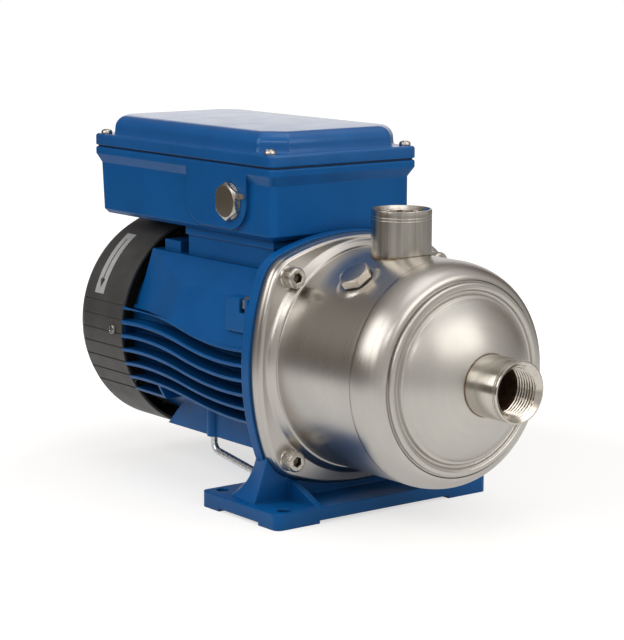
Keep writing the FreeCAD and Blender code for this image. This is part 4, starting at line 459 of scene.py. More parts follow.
# Dark metal in the screws' hexagon sockets: painted shade in the recesses
socket_painted_shade = make_screw_metal("socket_bottom_painted_shade", (0.2, 0.17, 0.14), 0.4)
rubber = make_simple("rubber_seal", (0.012, 0.012, 0.012), (0.025, 0.025, 0.026), 0.6)
gasket_rubber = make_simple("gasket_rubber", (0.006, 0.02, 0.055), (0.01, 0.035, 0.09), 0.55)
label_foil = make_simple(
    "label_foil", (0.5, 0.51, 0.53), (0.6, 0.61, 0.63), 0.42, metal=0.25, scale=150, depth=0.08)
label_ink = make_simple("label_ink", (0.03, 0.03, 0.032), (0.055, 0.055, 0.058), 0.5)
copper = make_simple(
    "copper_winding", (0.5, 0.2, 0.08), (0.62, 0.28, 0.12), 0.35, metal=1.0, scale=300)
laminated = make_simple(
    "laminated_core", (0.2, 0.2, 0.21), (0.32, 0.32, 0.33), 0.4, metal=1.0, scale=500)
carbon = make_simple("carbon_seal", (0.03, 0.03, 0.03), (0.06, 0.06, 0.06), 0.4)

SLOT_MATERIALS = {
    "stainless": steel_plain, "blue_paint": blue_paint, "black_plastic": black_plastic,
    "zinc": zinc, "nickel": zinc, "rubber": rubber, "label": label_foil, "copper": copper,
    "core_steel": laminated, "carbon": carbon,
}
OWN_MATERIALS = {"support_wire": wire_zinc, "terminal_box_gasket": gasket_rubber}

for row in frame["record"]["subparts"]:
    node = nodes[row["node"]]
    material = OWN_MATERIALS.get(row["node"], SLOT_MATERIALS[row["material_slot"]])
    node.data.materials.clear()
    node.data.materials.append(material)


# Pump casing

casing_low, casing_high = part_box("pump_casing")
ADAPTER_FACE = casing_low.x / MM
SHOULDER_FRONT = casing_high.x / MM

# The flange: where its front is, how far its middle lies below the shaft axis, half its width,
# the radii of its bowed sides and of its corners, and where it meets the plate behind it
FLANGE_FRONT = ADAPTER_FACE + 10.5
FLANGE_DROP = 2.0
FLANGE_HALF = 83.2
FLANGE_SIDE = 163.0
FLANGE_CORNER = 25.0
PLATE_JOINT = ADAPTER_FACE + 5.5

# Radii of the ridge round the barrel's foot, of the barrel and of the lap joint in front of it
RIDGE = 77.6
BARREL = 73.0
SEAM = 62.4

# Depth of the ridge along the shaft, the sheet's thickness, where the shoulder starts, how much
# the barrel draws in just before it, and the rounding at the joint's edge
RIDGE_DEPTH = 5
WALL = 2.0
SHOULDER_START = 94.0
SHOULDER_CREASE = 0.1
SEAM_LIP = 0.6

# How finely the casing is divided: steps in the shoulder's arc and around, and its longest run
SHOULDER_STEPS = 24
CASING_SEGMENTS = 360
LONGEST_RUN = 1.2

# The casing screws lie this far to each side of the flange's middle. Radii of their heads, of
# the washers and of the spot faces for these, the width of the hexagon sockets, the washers'
# thickness and holes, and how deep a spot face cuts
SCREW_OFFSET = 60.0
SCREW_HEAD = 6.7
WASHER = 7.4
SPOT_FACE = 8.2
SCREW_FLATS = 6
WASHER_DEPTH = 1.4
WASHER_HOLE = 4.2
SPOT_FACE_DEPTH = 8

# The fill and the drain plug: place along the shaft, and degrees about it from straight up
PLUG_SEATS = ((63.2, 35.0), (44.0, -128.0))
PLUG_FRAMES = [
    Matrix.Translation((along * MM, 0, SHAFT_Z)) @ Matrix.Rotation(math.radians(degrees), 4, "X")
    for along, degrees in PLUG_SEATS
]

# The flats that the plugs sit on: distance from the shaft axis, radius, and width of the blend
# round them. Only points further out than the last number are pressed flat
PAD_FLAT = 73.3
PAD_RADIUS = 12.6
PAD_BLEND = 2.6
PAD_SIDE = 50.0


def screw_places(x):
    """Places on the four casing screws' axes, with X pointing forwards."""
    for side_y in (1, -1):
        for side_z in (1, -1):
            up = SHAFT_Z + (SCREW_OFFSET * side_z - FLANGE_DROP) * MM
            yield Matrix.Translation((x * MM, SCREW_OFFSET * side_y * MM, up))


def flange_point(angle, inset):
    """A point of the flange's outline in this direction from its middle. The outline is drawn in
    by inset: four bowed sides and four round corners."""
    shift = FLANGE_SIDE - FLANGE_HALF
    side = FLANGE_SIDE - inset
    corner = FLANGE_CORNER - inset
    # The corners' middles lie this far along both axes
    reach = (math.sqrt(2 * (FLANGE_SIDE - FLANGE_CORNER) ** 2 - shift ** 2) - shift) / 2
    quarter = round(angle / (math.pi / 2)) * math.pi / 2
    local = angle - quarter
    direction = Vector((math.cos(local), math.sin(local)))
    along = math.sqrt((shift * direction.x) ** 2 - shift ** 2 + side ** 2) - shift * direction.x
    hit = direction * along
    if abs(math.atan2(hit.y, hit.x + shift)) > math.atan2(reach, reach + shift):
        middle = Vector((reach, math.copysign(reach, local)))
        dot = middle.dot(direction)
        square = dot ** 2 - middle.length_squared + corner ** 2
        hit = direction * (dot + math.sqrt(max(0.0, square)))
    return Matrix.Rotation(quarter, 2) @ hit


def flange_rings(angles):
    front = FLANGE_FRONT
    rim = [
        (ADAPTER_FACE, 0.2), (ADAPTER_FACE + 0.3, 0.0),
        (PLATE_JOINT - 0.4, 0.0), (PLATE_JOINT, 0.15), (PLATE_JOINT + 0.4, 0.35),
        (front - 2.8, 0.4), (front - 2.0, 0.52), (front - 1.2, 0.86),
        (front - 0.55, 1.4), (front - 0.15, 2.0), (front, 2.6),
    ]
    rings = []
    for x, inset in rim:
        outline = [flange_point(angle, inset) for angle in angles]
        rings.append([at(SHAFT, x, y, z - FLANGE_DROP) for y, z in outline])
    return rings


def casing_profile():
    """From the ridge over the barrel and the shoulder to the lap joint, and back inside."""
    front = FLANGE_FRONT
    ridge = front + RIDGE_DEPTH
    profile = split_runs(round_profile([
        (front, RIDGE + 0.9), (front + 0.2, RIDGE + 0.45), (front + 2.4, RIDGE - 0.8, 3.2),
        (ridge, RIDGE - 3.2, 1.5), (ridge + 0.2, BARREL, 0.5),
        (SHOULDER_START - 0.9, BARREL - 0.05), (SHOULDER_START - 0.2, BARREL - 0.06),
        (SHOULDER_START + 0.2, BARREL - 0.08), (SHOULDER_START + 0.45, BARREL - SHOULDER_CREASE),
    ], steps=9), LONGEST_RUN)
    start = SHOULDER_START + 0.9
    reach = SHOULDER_FRONT - start
    lowest = SEAM + SEAM_LIP
    drop = BARREL + SHOULDER_CREASE - lowest
    for step in range(SHOULDER_STEPS + 1):
        angle = math.pi / 2 * step / SHOULDER_STEPS
        profile.append((start + reach * math.sin(angle), lowest + drop * math.cos(angle)))
    inside = SHOULDER_FRONT - WALL
    return profile + [
        (SHOULDER_FRONT - 0.8, SEAM), (inside, SEAM), (inside, SEAM - SEAM_LIP),
        (SHOULDER_FRONT - 9, BARREL - WALL), (ADAPTER_FACE, BARREL - WALL),
    ]


def press_pads(work):
    """Presses the round flats for the two plugs into the barrel."""
    for place in PLUG_FRAMES:
        back = place.inverted()
        for vertex in work.verts:
            local = back @ vertex.co
            away = math.hypot(local.x, local.y) / MM
            if local.z < PAD_SIDE * MM or away > PAD_RADIUS + PAD_BLEND:
                continue
            share = min(1.0, max(0.0, (PAD_RADIUS + PAD_BLEND - away) / PAD_BLEND))
            share = share * share * (3 - 2 * share)
            local.z += (PAD_FLAT * MM - local.z) * share
            vertex.co = place @ local


def cut_spot_faces(work):
    """Faces the ridge down to the flange where the casing screws' washers sit on it."""
    front = FLANGE_FRONT * MM
    limit = (FLANGE_FRONT + SPOT_FACE_DEPTH) * MM
    for place in screw_places(FLANGE_FRONT):
        middle = place.translation
        for vertex in work.verts:
            away = math.hypot(vertex.co.y - middle.y, vertex.co.z - middle.z) / MM
            if away < SPOT_FACE and front < vertex.co.x < limit:
                vertex.co.x = front


def make_casing():
    angles = circle(CASING_SEGMENTS)
    rings = flange_rings(angles)
    for x, radius in casing_profile():
        rings.append([turned(SHAFT, x, radius, angle) for angle in angles])
    work = bmesh.new()
    add_rings(work, rings, closed=True)
    press_pads(work)
    cut_spot_faces(work)
    piece = finish_piece("pump_casing_shell", work, steel_barrel, smooth=50)
    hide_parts("pump_casing")


make_casing()


# End cap

# The dome: its radius, the place of its middle, the radius of its edge, and how finely it is
# divided
DOME = 71.5
DOME_CENTRE = 71.4
DOME_EDGE = 52.0
DOME_STEPS = 44
CAP_SEGMENTS = 288

# Outer radius of the two ports, and the play in the dome's hole for one
PORT = 19.6
PORT_FIT = 0.05

# How far the bead stands in front of the shoulder, and how far behind the shoulder's front the
# lap joint's bottom lies where the joint is open and where it is closed
BEAD_REACH = 2.6
JOINT_OPEN = 1.3
JOINT_CLOSED = 0.1

# The joint opens from the first angle about the shaft, in degrees, and closes from the second.
# Each takes so many degrees, and a least share of the gap stays elsewhere
OPEN_FROM, OPEN_RAMP, OPEN_LEAST = 40, 30, 0.25
CLOSE_FROM, CLOSE_RAMP, CLOSE_LEAST = 172, 6, 0.2


def joint_share(angle):
    """How far the lap joint stands open at this angle about the shaft, from nought to one."""
    degrees = math.degrees(angle) % 360
    share = min(1.0, max(OPEN_LEAST, (degrees - OPEN_FROM) / OPEN_RAMP))
    if degrees >= CLOSE_FROM:
        share *= max(CLOSE_LEAST, 1 - (degrees - CLOSE_FROM) / CLOSE_RAMP)
    return share


def make_end_cap():
    """Cap with a rolled bead, lapped into the shoulder: the joint stands open along part of it."""
    bead = SHOULDER_FRONT + BEAD_REACH
    foot = DOME_CENTRE + math.sqrt(DOME ** 2 - DOME_EDGE ** 2)
    gap = SHOULDER_FRONT - JOINT_OPEN
    inside = SHOULDER_FRONT - WALL
    gap_points = [(gap, SEAM - 0.1), (gap, SEAM - 0.85)]
    beads = round_profile([
        (gap, SEAM - 0.9), (bead - 0.2, SEAM - 1.1, 1.3), (bead, 58.6, 0.6),
        (bead - 0.5, 57.9, 0.4), (bead - 0.6, 57.0, 0.9), (bead - 2.4, 56.0, 1.1),
        (bead - 2.5, 54.4, 0.5), (foot - 0.5, 53.2, 0.7), (foot - 0.25, DOME_EDGE, 1.0),
        (foot + 0.6, DOME_EDGE - 1),
    ], steps=6)[1:]
    low = math.asin((DOME_EDGE - 1) / DOME)
    high = math.asin((PORT + PORT_FIT) / DOME)
    dome = []
    for step in range(1, DOME_STEPS + 1):
        angle = low + (high - low) * step / DOME_STEPS
        dome.append((DOME_CENTRE + DOME * math.cos(angle), DOME * math.sin(angle)))
    back = [(dome[-1][0] - WALL, PORT + PORT_FIT), (foot - WALL, 50.0), (inside, 57.0)]
    work = bmesh.new()
    profile = [(inside, SEAM - 0.1)] + gap_points + beads + dome + back
    rings = lathe(work, profile, SHAFT, CAP_SEGMENTS, closed=True)
    for ring in rings[1:1 + len(gap_points)]:
        for vertex, angle in zip(ring, circle(CAP_SEGMENTS)):
            vertex.co.x += (JOINT_OPEN - JOINT_CLOSED) * MM * (1 - joint_share(angle))
    piece = finish_piece("end_cap_dome", work, steel_dome, smooth=50)
    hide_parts("casing_end_cap")


make_end_cap()


# Threaded ports

# The female thread: its pitch, its radii at crest and root, its length, and which shares of a
# pitch are flat and flank
THREAD_PITCH = 2.309
THREAD_CREST = 15.15
THREAD_ROOT = 16.5
THREAD_LENGTH = 19.0
THREAD_FLAT = 0.14
THREAD_FLANK = 0.72
STEPS_PER_TURN = 14

# Radii of the bore and of the mouth, how steeply the mouth narrows, and half a groove's width
BORE = 14.2
MOUTH = PORT - 1.0
MOUTH_SLOPE = 1.3
GROOVE_HALF = 0.35
PORT_SEGMENTS = 144

# Grooves round the ports: distance behind the face, and depth
SUCTION_GROOVES = ((3.6, 0.08), (2.4, 0.08))
DISCHARGE_GROOVES = ((6.2, 0.3), (4.4, 0.3))


def thread_radius(turns):
    """Radius of the thread at this many turns along, between crest and root."""
    rise = abs(turns % 1.0 - 0.5) * 2
    share = min(1.0, max(0.0, (rise - THREAD_FLAT) / THREAD_FLANK))
    return THREAD_ROOT + (THREAD_CREST - THREAD_ROOT) * share


def make_port(name, node, place, root, face, steel, thread_steel, grooves):
    """A weld-on socket with a real female thread, from root to face along this place's X axis."""
    outer = [(root, BORE), (root, PORT)]
    for behind, cut in grooves:
        middle = face - behind
        outer += [(middle - GROOVE_HALF, PORT), (middle, PORT - cut), (middle + GROOVE_HALF, PORT)]
    start = face - 0.1
    outer += [
        (face - 0.2, PORT), (face - 0.05, PORT - 0.06), (face, PORT - 0.2), (face, MOUTH + 0.1),
        (start, MOUTH),
    ]
    work = bmesh.new()
    lathe(work, outer, place, PORT_SEGMENTS)
    piece = finish_piece(name, work, steel, smooth=40)
    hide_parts(node)

    rings = []
    steps = int(THREAD_LENGTH / THREAD_PITCH * STEPS_PER_TURN)
    for step in range(steps + 1):
        depth = THREAD_LENGTH * step / steps
        mouth = MOUTH - depth * MOUTH_SLOPE
        ring = []
        for k, angle in enumerate(circle(PORT_SEGMENTS)):
            radius = thread_radius(depth / THREAD_PITCH + k / PORT_SEGMENTS)
            ring.append(turned(place, start - depth, max(radius, mouth), -angle))
        rings.append(ring)
    work = bmesh.new()
    add_rings(work, rings)
    thread = finish_piece(name + "_thread", work, thread_steel, smooth=45)

    end = start - THREAD_LENGTH
    work = bmesh.new()
    inner = [(end, THREAD_ROOT), (end - 0.3, BORE + 0.2), (end - 0.8, BORE), (root, BORE)]
    lathe(work, inner, place, PORT_SEGMENTS)
    bore = finish_piece(name + "_bore", work, steel_bore, smooth=40)
    for inside in (thread, bore):
        inside.data.flip_normals()


suction_low, suction_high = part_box("suction_port")
make_port(
    "suction_socket", "suction_port", SHAFT, suction_low.x / MM, suction_high.x / MM,
    steel_suction, suction_thread, SUCTION_GROOVES)

discharge_low, discharge_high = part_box("discharge_port")
DISCHARGE_X = (discharge_low.x + discharge_high.x) / 2 / MM
UPRIGHT = (
    Matrix.Translation((DISCHARGE_X * MM, 0, SHAFT_Z)) @ Matrix.Rotation(-math.pi / 2, 4, "Y"))
make_port(
    "discharge_socket", "discharge_port", UPRIGHT, BARREL - 3, (discharge_high.z - SHAFT_Z) / MM,
    steel_discharge, discharge_thread, DISCHARGE_GROOVES)


# Weld beads round the two ports

WELD_POINTS = 160
WELD_SIDES = 10
SUCTION_WELD = 0.35
DISCHARGE_WELD = 0.4


def tube_round(points, radius):
    """A closed tube of this radius along a closed run of points."""
    work = bmesh.new()
    rings = []
    for index, point in enumerate(points):
        ahead = (points[(index + 1) % len(points)] - points[index - 1]).normalized()
        helper = Vector((0, 0, 1)) if abs(ahead.z) < 0.9 else Vector((0, 1, 0))
        across = ahead.cross(helper).normalized()
        above = across.cross(ahead).normalized()
        rings.append([
            point + (across * math.cos(angle) + above * math.sin(angle)) * radius * MM
            for angle in circle(WELD_SIDES)
        ])
    add_rings(work, rings, closed=True)
    return work


def make_welds():
    x = DOME_CENTRE + math.sqrt(DOME ** 2 - PORT ** 2)
    suction = []
    discharge = []
    for angle in circle(WELD_POINTS):
        suction.append(turned(SHAFT, x, PORT, angle))
        y = math.sin(angle) * PORT
        z = math.sqrt(BARREL ** 2 - y ** 2)
        discharge.append(at(SHAFT, DISCHARGE_X + math.cos(angle) * PORT, y, z))
    finish_piece("suction_weld", tube_round(suction, SUCTION_WELD), weld_metal)
    finish_piece("discharge_weld", tube_round(discharge, DISCHARGE_WELD), weld_metal)


make_welds()


# Screws of the casing

# Depth and teeth of the knurl on their heads
KNURL = 0.36
KNURL_TEETH = 40
WASHER_SEGMENTS = 64


def hexagon_reach(angle, flats):
    """Distance from the middle of a hexagon to its side, whose flats are this far apart."""
    side = math.pi / 3
    return flats / 2 / math.cos((angle + side / 2) % side - side / 2)


def socket_screw(heads, sockets, place, height):
    """Cylinder head with a knurled side, and its hexagon socket in a mesh of its own. X points
    out of the head."""
    angles = circle(KNURL_TEETH * 4)
    radius = SCREW_HEAD

    def ring(x, size, knurl=0.0):
        points = []
        for k, angle in enumerate(angles):
            wave = knurl / 2 if k % 4 in (1, 2) else -knurl / 2
            points.append(turned(place, x, size + wave, angle))
        return points

    def hexagon(x, flats):
        return [turned(place, x, hexagon_reach(angle, flats), angle) for angle in angles]

    rings = [
        ring(0, radius - 0.5), ring(0.4, radius - 0.12), ring(0.8, radius, KNURL),
        ring(height - 1.5, radius, KNURL), ring(height - 0.9, radius - 0.1),
        ring(height - 0.35, radius - 0.45), ring(height, radius - 1.1),
        hexagon(height, SCREW_FLATS + 0.7), hexagon(height - 0.35, SCREW_FLATS),
    ]
    add_rings(heads, rings, first_cap=True)
    bottom = [hexagon(height - 4.0, SCREW_FLATS), ring(height - 4.8, 0.4)]
    add_rings(sockets, [rings[-1]] + bottom, last_cap=True)


def make_casing_screws():
    heads = bmesh.new()
    sockets = bmesh.new()
    seat = FLANGE_FRONT + WASHER_DEPTH
    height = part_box("casing_screws")[1].x / MM - seat
    for index, place in enumerate(screw_places(seat)):
        socket_screw(heads, sockets, place @ Matrix.Rotation(index * 0.37, 4, "X"), height)
    piece = finish_piece("casing_screw_heads", heads, zinc, smooth=30)
    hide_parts("casing_screws")
    # The sockets' dark metal is painted shade
    finish_piece("casing_screw_sockets", sockets, socket_painted_shade, smooth=30)

    work = bmesh.new()
    profile = round_profile([
        (0.0, WASHER_HOLE), (0.0, WASHER - 0.1), (0.5, WASHER, 0.3),
        (WASHER_DEPTH, WASHER - 0.4, 0.5), (WASHER_DEPTH, WASHER_HOLE),
    ])
    for place in screw_places(FLANGE_FRONT):
        lathe(work, profile, place, WASHER_SEGMENTS, closed=True)
    piece = finish_piece("casing_washer_rings", work, zinc)
    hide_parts("casing_washers")


make_casing_screws()


# Fill and drain plugs

# The plugs' hexagons: size over the flats, height, chamfer, and how far each is turned
PLUG_FLATS = 19.0
PLUG_HEIGHT = 5.5
PLUG_CHAMFER = 0.9
PLUG_TURNS = (TURN / 3 - 0.12, TURN / 3)

# The seals under them: thickness, radii of the hole and of the rim, and how far the rim bulges
SEAL = 0.8
SEAL_HOLE = 7.0
SEAL_RADIUS = 10.2
SEAL_BULGE = 0.4
SEAL_SEGMENTS = 72
HEXAGON_POINTS = 96
HEXAGON_STEPS = 6


def hexagon_head(work, place, flats, height, chamfer, turn=0.0):
    """Hexagon with corners turned off at its top, standing on this place's XY plane."""
    corner = flats / math.sqrt(3)

    def ring(z, limit, inset=0.0):
        points = []
        for angle in circle(HEXAGON_POINTS):
            reach = min(hexagon_reach(angle - turn, flats - 2 * inset), limit)
            points.append(at(place, math.cos(angle) * reach, math.sin(angle) * reach, z))
        return points

    rings = [ring(0.0, corner - 0.4, 0.3), ring(0.3, corner - 0.1)]
    drop = corner - flats / 2 + chamfer * 0.6
    for step in range(HEXAGON_STEPS + 1):
        share = step / HEXAGON_STEPS
        rings.append(ring(height - chamfer + chamfer * 0.8 * share, corner - 0.1 - drop * share))
    rings.append(ring(height - 0.06, flats / 2 - chamfer * 0.75))
    rings.append(ring(height, flats / 2 - chamfer * 1.1))
    add_rings(work, rings, first_cap=True, last_cap=True)


def make_plugs():
    work = bmesh.new()
    for place, turn in zip(PLUG_FRAMES, PLUG_TURNS):
        seat = place @ Matrix.Translation((0, 0, (PAD_FLAT + SEAL) * MM))
        hexagon_head(work, seat, PLUG_FLATS, PLUG_HEIGHT, PLUG_CHAMFER, turn)
    piece = finish_piece("plug_heads", work, plug_side, smooth=25)
    piece.data.materials.append(plug_top)
    for place in PLUG_FRAMES:
        face_material(piece, place.to_3x3() @ Vector((0, 0, 1)), 0.95)
    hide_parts("casing_plugs")

    work = bmesh.new()
    profile = [
        (PAD_FLAT, SEAL_HOLE), (PAD_FLAT, SEAL_RADIUS),
        (PAD_FLAT + SEAL / 2, SEAL_RADIUS + SEAL_BULGE),
        (PAD_FLAT + SEAL, SEAL_RADIUS), (PAD_FLAT + SEAL, SEAL_HOLE),
    ]
    for place in PLUG_FRAMES:
        outwards = place @ Matrix.Rotation(-math.pi / 2, 4, "Y")
        lathe(work, profile, outwards, SEAL_SEGMENTS, closed=True)
    piece = finish_piece("plug_seal_rings", work, rubber)
    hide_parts("plug_seals")


make_plugs()


# Lid of the terminal box

# Radius of the lid's corners, and height of its flat edge above the shaft axis
LID_CORNER = 4.0
LID_EDGE = 134.2

# The raised part: its ends, half its width, how much of its corners is cut off, their radius,
# the rounding along its top, and how far it draws in below that
RAISED_REAR = -208.5
RAISED_FRONT = -7.1
RAISED_HALF = 57.5
RAISED_CUT = 15.1
RAISED_CORNER = 4.5
RAISED_ROUND = 9.0
RAISED_DRAFT = 0.35
ROUND_STEPS = 12
OUTLINE_STEPS = 6


def round_outline(corners):
    """Closed outline with rounded corners, as (x, y) points."""
    looped = [corners[-1]] + list(corners) + [corners[0]]
    points = []
    for three in zip(looped, looped[1:], looped[2:]):
        points += round_profile(three, OUTLINE_STEPS)[1:-1]
    return points


def rectangle(low, high, half, radius):
    return [(x, y, radius) for x, y in ((low, -half), (high, -half), (high, half), (low, half))]


def raised_outline(inset):
    """The raised part drawn in by this distance: a rectangle with its corners cut off."""
    low, high, half = RAISED_REAR + inset, RAISED_FRONT - inset, RAISED_HALF - inset
    cut = RAISED_CUT - inset * (2 - math.sqrt(2))
    return [(x, y, RAISED_CORNER) for x, y in (
        (low + cut, -half), (high - cut, -half), (high, -half + cut), (high, half - cut),
        (high - cut, half), (low + cut, half), (low, half - cut), (low, -half + cut))]


def stack_outlines(work, levels):
    """Closes outlines at their heights above the shaft axis to one body."""
    rings = [[at(SHAFT, x, y, z) for x, y in round_outline(corners)] for z, corners in levels]
    add_rings(work, rings, first_cap=True, last_cap=True)


def make_lid():
    low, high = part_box("terminal_box_lid")
    bottom = (low.z - SHAFT_Z) / MM
    top = (high.z - SHAFT_Z) / MM
    rear, front, half = low.x / MM, high.x / MM, high.y / MM
    work = bmesh.new()
    edge = [
        (bottom, 0.5), (bottom + 0.5, 0.0), (LID_EDGE - 1.8, 0.0), (LID_EDGE - 1.1, 0.16),
        (LID_EDGE - 0.5, 0.6), (LID_EDGE - 0.12, 1.2), (LID_EDGE, 2.0),
    ]
    stack_outlines(work, [
        (z, rectangle(rear + inset, front - inset, half - inset, LID_CORNER - inset * 0.6))
        for z, inset in edge
    ])
    start = top - RAISED_ROUND
    # A small fillet at the raised part's foot
    raised = [
        (LID_EDGE - 0.5, -1.0), (LID_EDGE + 0.05, -0.9), (LID_EDGE + 0.5, -0.25),
        (LID_EDGE + 1.0, 0.0),
    ]
    for step in range(ROUND_STEPS + 1):
        angle = math.pi / 2 * step / ROUND_STEPS
        inset = RAISED_DRAFT + RAISED_ROUND * (1 - math.cos(angle))
        raised.append((start + RAISED_ROUND * math.sin(angle), inset))
    stack_outlines(work, [(z, raised_outline(inset)) for z, inset in raised])
    piece = finish_piece("lid_shell", work, lid_paint, smooth=40)
    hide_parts("terminal_box_lid")


make_lid()


# Screws of the lid

# Radius and height of their heads
LID_SCREW = 4.0
LID_SCREW_HEIGHT = 3.2
PAN_POINTS = 48

# A head's form from its foot to its middle, as shares of its height and radius
PAN_PROFILE = (
    (0, 0.92), (0.12, 1.0), (0.42, 0.985), (0.68, 0.9), (0.86, 0.74), (0.95, 0.56), (0.99, 0.4),
    (1.0, 0.26), (1.0, 0.12),
)

# The cross recess, in the same shares: half an arm's width, its reach, its depth, and the
# level that it starts above
RECESS_ARM = 0.13
RECESS_REACH = 0.6
RECESS_DEPTH = 0.5
RECESS_LEVEL = 0.9


def pan_head(work, place, radius, height):
    """Domed head with a cross recess; Z points out of the head."""
    rings = []
    for level, share in PAN_PROFILE:
        ring = []
        for angle in circle(PAN_POINTS):
            x, y = math.cos(angle) * share * radius, math.sin(angle) * share * radius
            z = level * height
            narrow, long = sorted((abs(x), abs(y)))
            in_cross = narrow < radius * RECESS_ARM and long < radius * RECESS_REACH
            if in_cross and level > RECESS_LEVEL:
                z -= height * RECESS_DEPTH
            ring.append(at(place, x, y, z))
        rings.append(ring)
    add_rings(work, rings, first_cap=True, last_cap=True)


def make_lid_screws():
    low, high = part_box("lid_screws")
    inset = LID_SCREW * MM
    work = bmesh.new()
    for index, x in enumerate((low.x + inset, high.x - inset)):
        for side, y in enumerate((low.y + inset, high.y - inset)):
            place = Matrix.Translation((x, y, SHAFT_Z + LID_EDGE * MM))
            turn = Matrix.Rotation(0.4 + index + side * 0.7, 4, "Z")
            pan_head(work, place @ turn, LID_SCREW, LID_SCREW_HEIGHT)
    piece = finish_piece("lid_screw_heads", work, zinc, smooth=40)
    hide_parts("lid_screws")


make_lid_screws()


# Cable entry plug

ENTRY_FLATS = 22.5
ENTRY_CHAMFER = 1.1


def make_cable_plug():
    low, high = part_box("cable_entry_plug")
    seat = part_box("cable_plug_washer")[0].y
    middle = Matrix.Translation(((low.x + high.x) / 2, seat, (low.z + high.z) / 2))
    work = bmesh.new()
    outwards = middle @ Matrix.Rotation(math.pi / 2, 4, "X")
    hexagon_head(work, outwards, ENTRY_FLATS, (seat - low.y) / MM, ENTRY_CHAMFER)
    piece = finish_piece("cable_plug_head", work, zinc, smooth=28)
    piece.data.materials.append(bronze_face)
    face_material(piece, Vector((0, -1, 0)), 0.97)
    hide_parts("cable_entry_plug")


make_cable_plug()


# Screws of the fan cover

# Radius of the cover, radius and height of the screws' heads, and their places round it
COVER = 77.2
COVER_SCREW = 3.7
COVER_SCREW_HEIGHT = 2.2
COVER_SCREW_ANGLES = (90, 180, 270)


def make_cover_screws():
    low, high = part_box("fan_cover_screws")
    middle = Matrix.Translation(((low.x + high.x) / 2, 0, SHAFT_Z))
    out = Matrix.Translation((0, 0, COVER * MM)) @ Matrix.Rotation(0.5, 4, "Z")
    work = bmesh.new()
    for degrees in COVER_SCREW_ANGLES:
        place = middle @ Matrix.Rotation(math.radians(degrees), 4, "X") @ out
        pan_head(work, place, COVER_SCREW, COVER_SCREW_HEIGHT)
    piece = finish_piece("cover_screw_heads", work, dark_screw, smooth=40)
    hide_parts("fan_cover_screws")


make_cover_screws()


# Direction arrow printed on the label

# Its places are degrees up from the side, and distances along the shaft from its middle
ARROW_RADIUS = COVER + 0.36
ARROW_TAIL = 50
ARROW_NECK = 25
ARROW_HALF = 0.55
ARROW_STEPS = 14
ARROW_HEAD = (
    (0, 20), (2.6, 24.4), (1.6, 25.2), (ARROW_HALF, ARROW_NECK),
    (-ARROW_HALF, ARROW_NECK), (-1.6, 25.2), (-2.6, 24.4),
)


def make_arrow():
    """Arrow that follows the cover, and points down."""
    low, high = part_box("direction_label")
    middle = (low.x + high.x) / 2 / MM
    work = bmesh.new()

    def strip(outline):
        points = [
            turned(SHAFT, middle + x, ARROW_RADIUS, math.pi - math.radians(degrees))
            for x, degrees in outline
        ]
        work.faces.new([work.verts.new(point) for point in points])

    rise = (ARROW_TAIL - ARROW_NECK) / ARROW_STEPS
    for step in range(ARROW_STEPS):
        lower, upper = ARROW_NECK + rise * step, ARROW_NECK + rise * (step + 1)
        strip([
            (-ARROW_HALF, lower), (ARROW_HALF, lower), (ARROW_HALF, upper), (-ARROW_HALF, upper)])
    strip(ARROW_HEAD)
    finish_piece("direction_arrow", work, label_ink, smooth=0, merge=0.01 * MM)


make_arrow()


# Stage

# Metres and degrees, but the camera's focal length and image height are in pixels and its
# sensor is in millimetres
CAMERA_PLACE = Vector((1.13096, -0.90187, 0.36823))
CAMERA_TARGET = Vector((-0.038, 0.0, 0.11643))
CAMERA_ROLL = math.radians(0.2)
FOCAL_PIXELS = 2208.61
IMAGE_HEIGHT = 640
SENSOR = 36
LAMP_TARGET = Vector((-0.03, 0, 0.12))
FLOOR_HALF = 6.0
# Painted shade: the floor's colour far off and behind the motor
FLOOR_PAINTED_SHADE = (0.05, 0.045, 0.04)
FLOOR_PALE = (0.5, 0.497, 0.49)
FLOOR_BEHIND = (-0.7, -0.71, 0)
WHITE = (1, 1, 1, 1)
STUDIO_GLOW = (0.98, 0.99, 1.0, 1)
STUDIO_DIM = (0.15, 0.125, 0.105, 1)

# The studio's bright sides: direction, cosines from it where the light starts and is full, and
# strength
WORLD_LOBES = (
    ((0.9, 0.05, 0.1), -0.3, 0.7, 0.38),
    ((-0.79, 0.6, 0.1), 0.9, 0.975, 0.85),
    ((0.0, 0.1, 1.0), 0.6, 0.95, 0.45),
)

# Soft boxes: azimuth and elevation in degrees, distance, width, height, power and colour
LAMPS = {
    "front_box": (12, 33, 1.7, 1.5, 0.85, 7.1, (1.0, 0.98, 0.94)),
    "left_box": (-101, 33, 1.7, 1.4, 1.05, 10.8, (1.0, 0.985, 0.96)),
    "key_box": (-52, 33, 1.7, 0.55, 0.2, 1.7, (1.0, 0.98, 0.95)),
    "top_box": (40, 84, 1.7, 1.2, 0.9, 3.0, (1, 1, 1)),
}


def make_camera():
    data = bpy.data.cameras.new("camera")
    data.sensor_width = SENSOR
    data.lens = FOCAL_PIXELS / IMAGE_HEIGHT * SENSOR
    data.clip_end = 50
    camera = link_object("camera", data)
    look = (CAMERA_TARGET - CAMERA_PLACE).to_track_quat("-Z", "Y").to_matrix().to_4x4()
    roll = Matrix.Rotation(CAMERA_ROLL, 4, "Z")
    camera.matrix_world = Matrix.Translation(CAMERA_PLACE) @ look @ roll
    bpy.context.scene.camera = camera


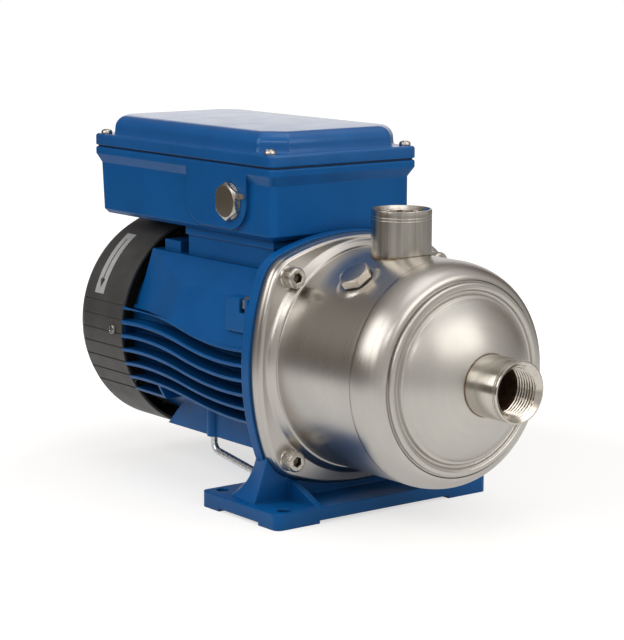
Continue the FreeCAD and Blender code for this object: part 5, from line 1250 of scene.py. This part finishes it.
def add_lamp(name, azimuth, elevation, distance, width, height, power, colour):
    """Soft box that faces the pump from this direction."""
    data = bpy.data.lights.new(name, "AREA")
    data.shape = "RECTANGLE"
    data.size = width
    data.size_y = height
    data.energy = power
    data.color = colour
    lamp = link_object(name, data)
    a, e = math.radians(azimuth), math.radians(elevation)
    away = Vector((math.cos(a) * math.cos(e), math.sin(a) * math.cos(e), math.sin(e)))
    lamp.location = LAMP_TARGET + away * distance
    lamp.rotation_euler = away.to_track_quat("Z", "Y").to_euler()


def floor_material():
    """Pale floor that keeps the pump's shadow. The camera sees it turn white away from the pump.
    The steel sees it pale near the pump, where glossy rays see a painted glow, and darker far off
    and on the motor's side, where shade is painted into its colour."""
    tree = Tree("white_floor")
    path = tree.add("LightPath").outputs
    away = tree.add("VectorMath", {"operation": "LENGTH"}, i0=tree.position()).outputs["Value"]
    seen = tree.math("MULTIPLY", path["Is Camera Ray"], tree.between(away, 0.25, 0.6, 0.62, 1.0))
    behind = tree.dot(tree.position(), FLOOR_BEHIND)
    near = tree.math(
        "MINIMUM", tree.between(behind, 0.45, 0.8, 1.0, 0.12),
        tree.between(away, 0.6, 1.2, 1.0, 0.35))
    # Painted reflection light: a glow that only glossy rays see near the pump
    painted_reflection_glow = tree.math("MULTIPLY", path["Is Glossy Ray"], tree.math("MULTIPLY", near, 0.42))
    diffuse = tree.add("BsdfDiffuse", Color=tree.mix(near, FLOOR_PAINTED_SHADE, FLOOR_PALE))
    glow = tree.add("Emission", Color=WHITE, Strength=tree.math("ADD", seen, painted_reflection_glow))
    return tree.output(tree.add("AddShader", i0=diffuse.outputs[0], i1=glow.outputs[0]))


def make_floor():
    work = bmesh.new()
    corners = [(-1, -1), (1, -1), (1, 1), (-1, 1)]
    work.faces.new([work.verts.new((x * FLOOR_HALF, y * FLOOR_HALF, 0)) for x, y in corners])
    mesh = bpy.data.meshes.new("floor")
    work.to_mesh(mesh)
    work.free()
    mesh.materials.append(floor_material())
    link_object("floor", mesh)


def make_world():
    """White behind the pump for the camera. For everything else a dim studio, brighter in front
    of the pump and above it, and white where the backdrop is."""
    tree = Tree("studio", "worlds")
    heading = tree.add("TexCoord").outputs["Generated"]
    lobes = []
    for direction, low, high, strength in WORLD_LOBES:
        cosine = tree.dot(heading, Vector(direction).normalized())
        lobes.append(tree.between(cosine, low, high, 0.0, strength, "SMOOTHSTEP"))
    light = lobes[0]
    for lobe in lobes[1:]:
        light = tree.math("ADD", light, lobe)
    glow = tree.add("Background", Color=STUDIO_GLOW, Strength=light)
    dim = tree.add("Background", Color=STUDIO_DIM, Strength=1.0)
    room = tree.add("AddShader", i0=glow.outputs[0], i1=dim.outputs[0])
    white = tree.add("Background", Color=WHITE, Strength=1.0)
    seen = tree.add("LightPath").outputs["Is Camera Ray"]
    both = tree.add("MixShader", i0=seen, i1=room.outputs[0], i2=white.outputs[0])
    bpy.context.scene.world = tree.output(both, "OutputWorld")


make_camera()
make_floor()
make_world()
for name, values in LAMPS.items():
    add_lamp(name, *values)

bpy.context.scene.view_settings.view_transform = "Standard"
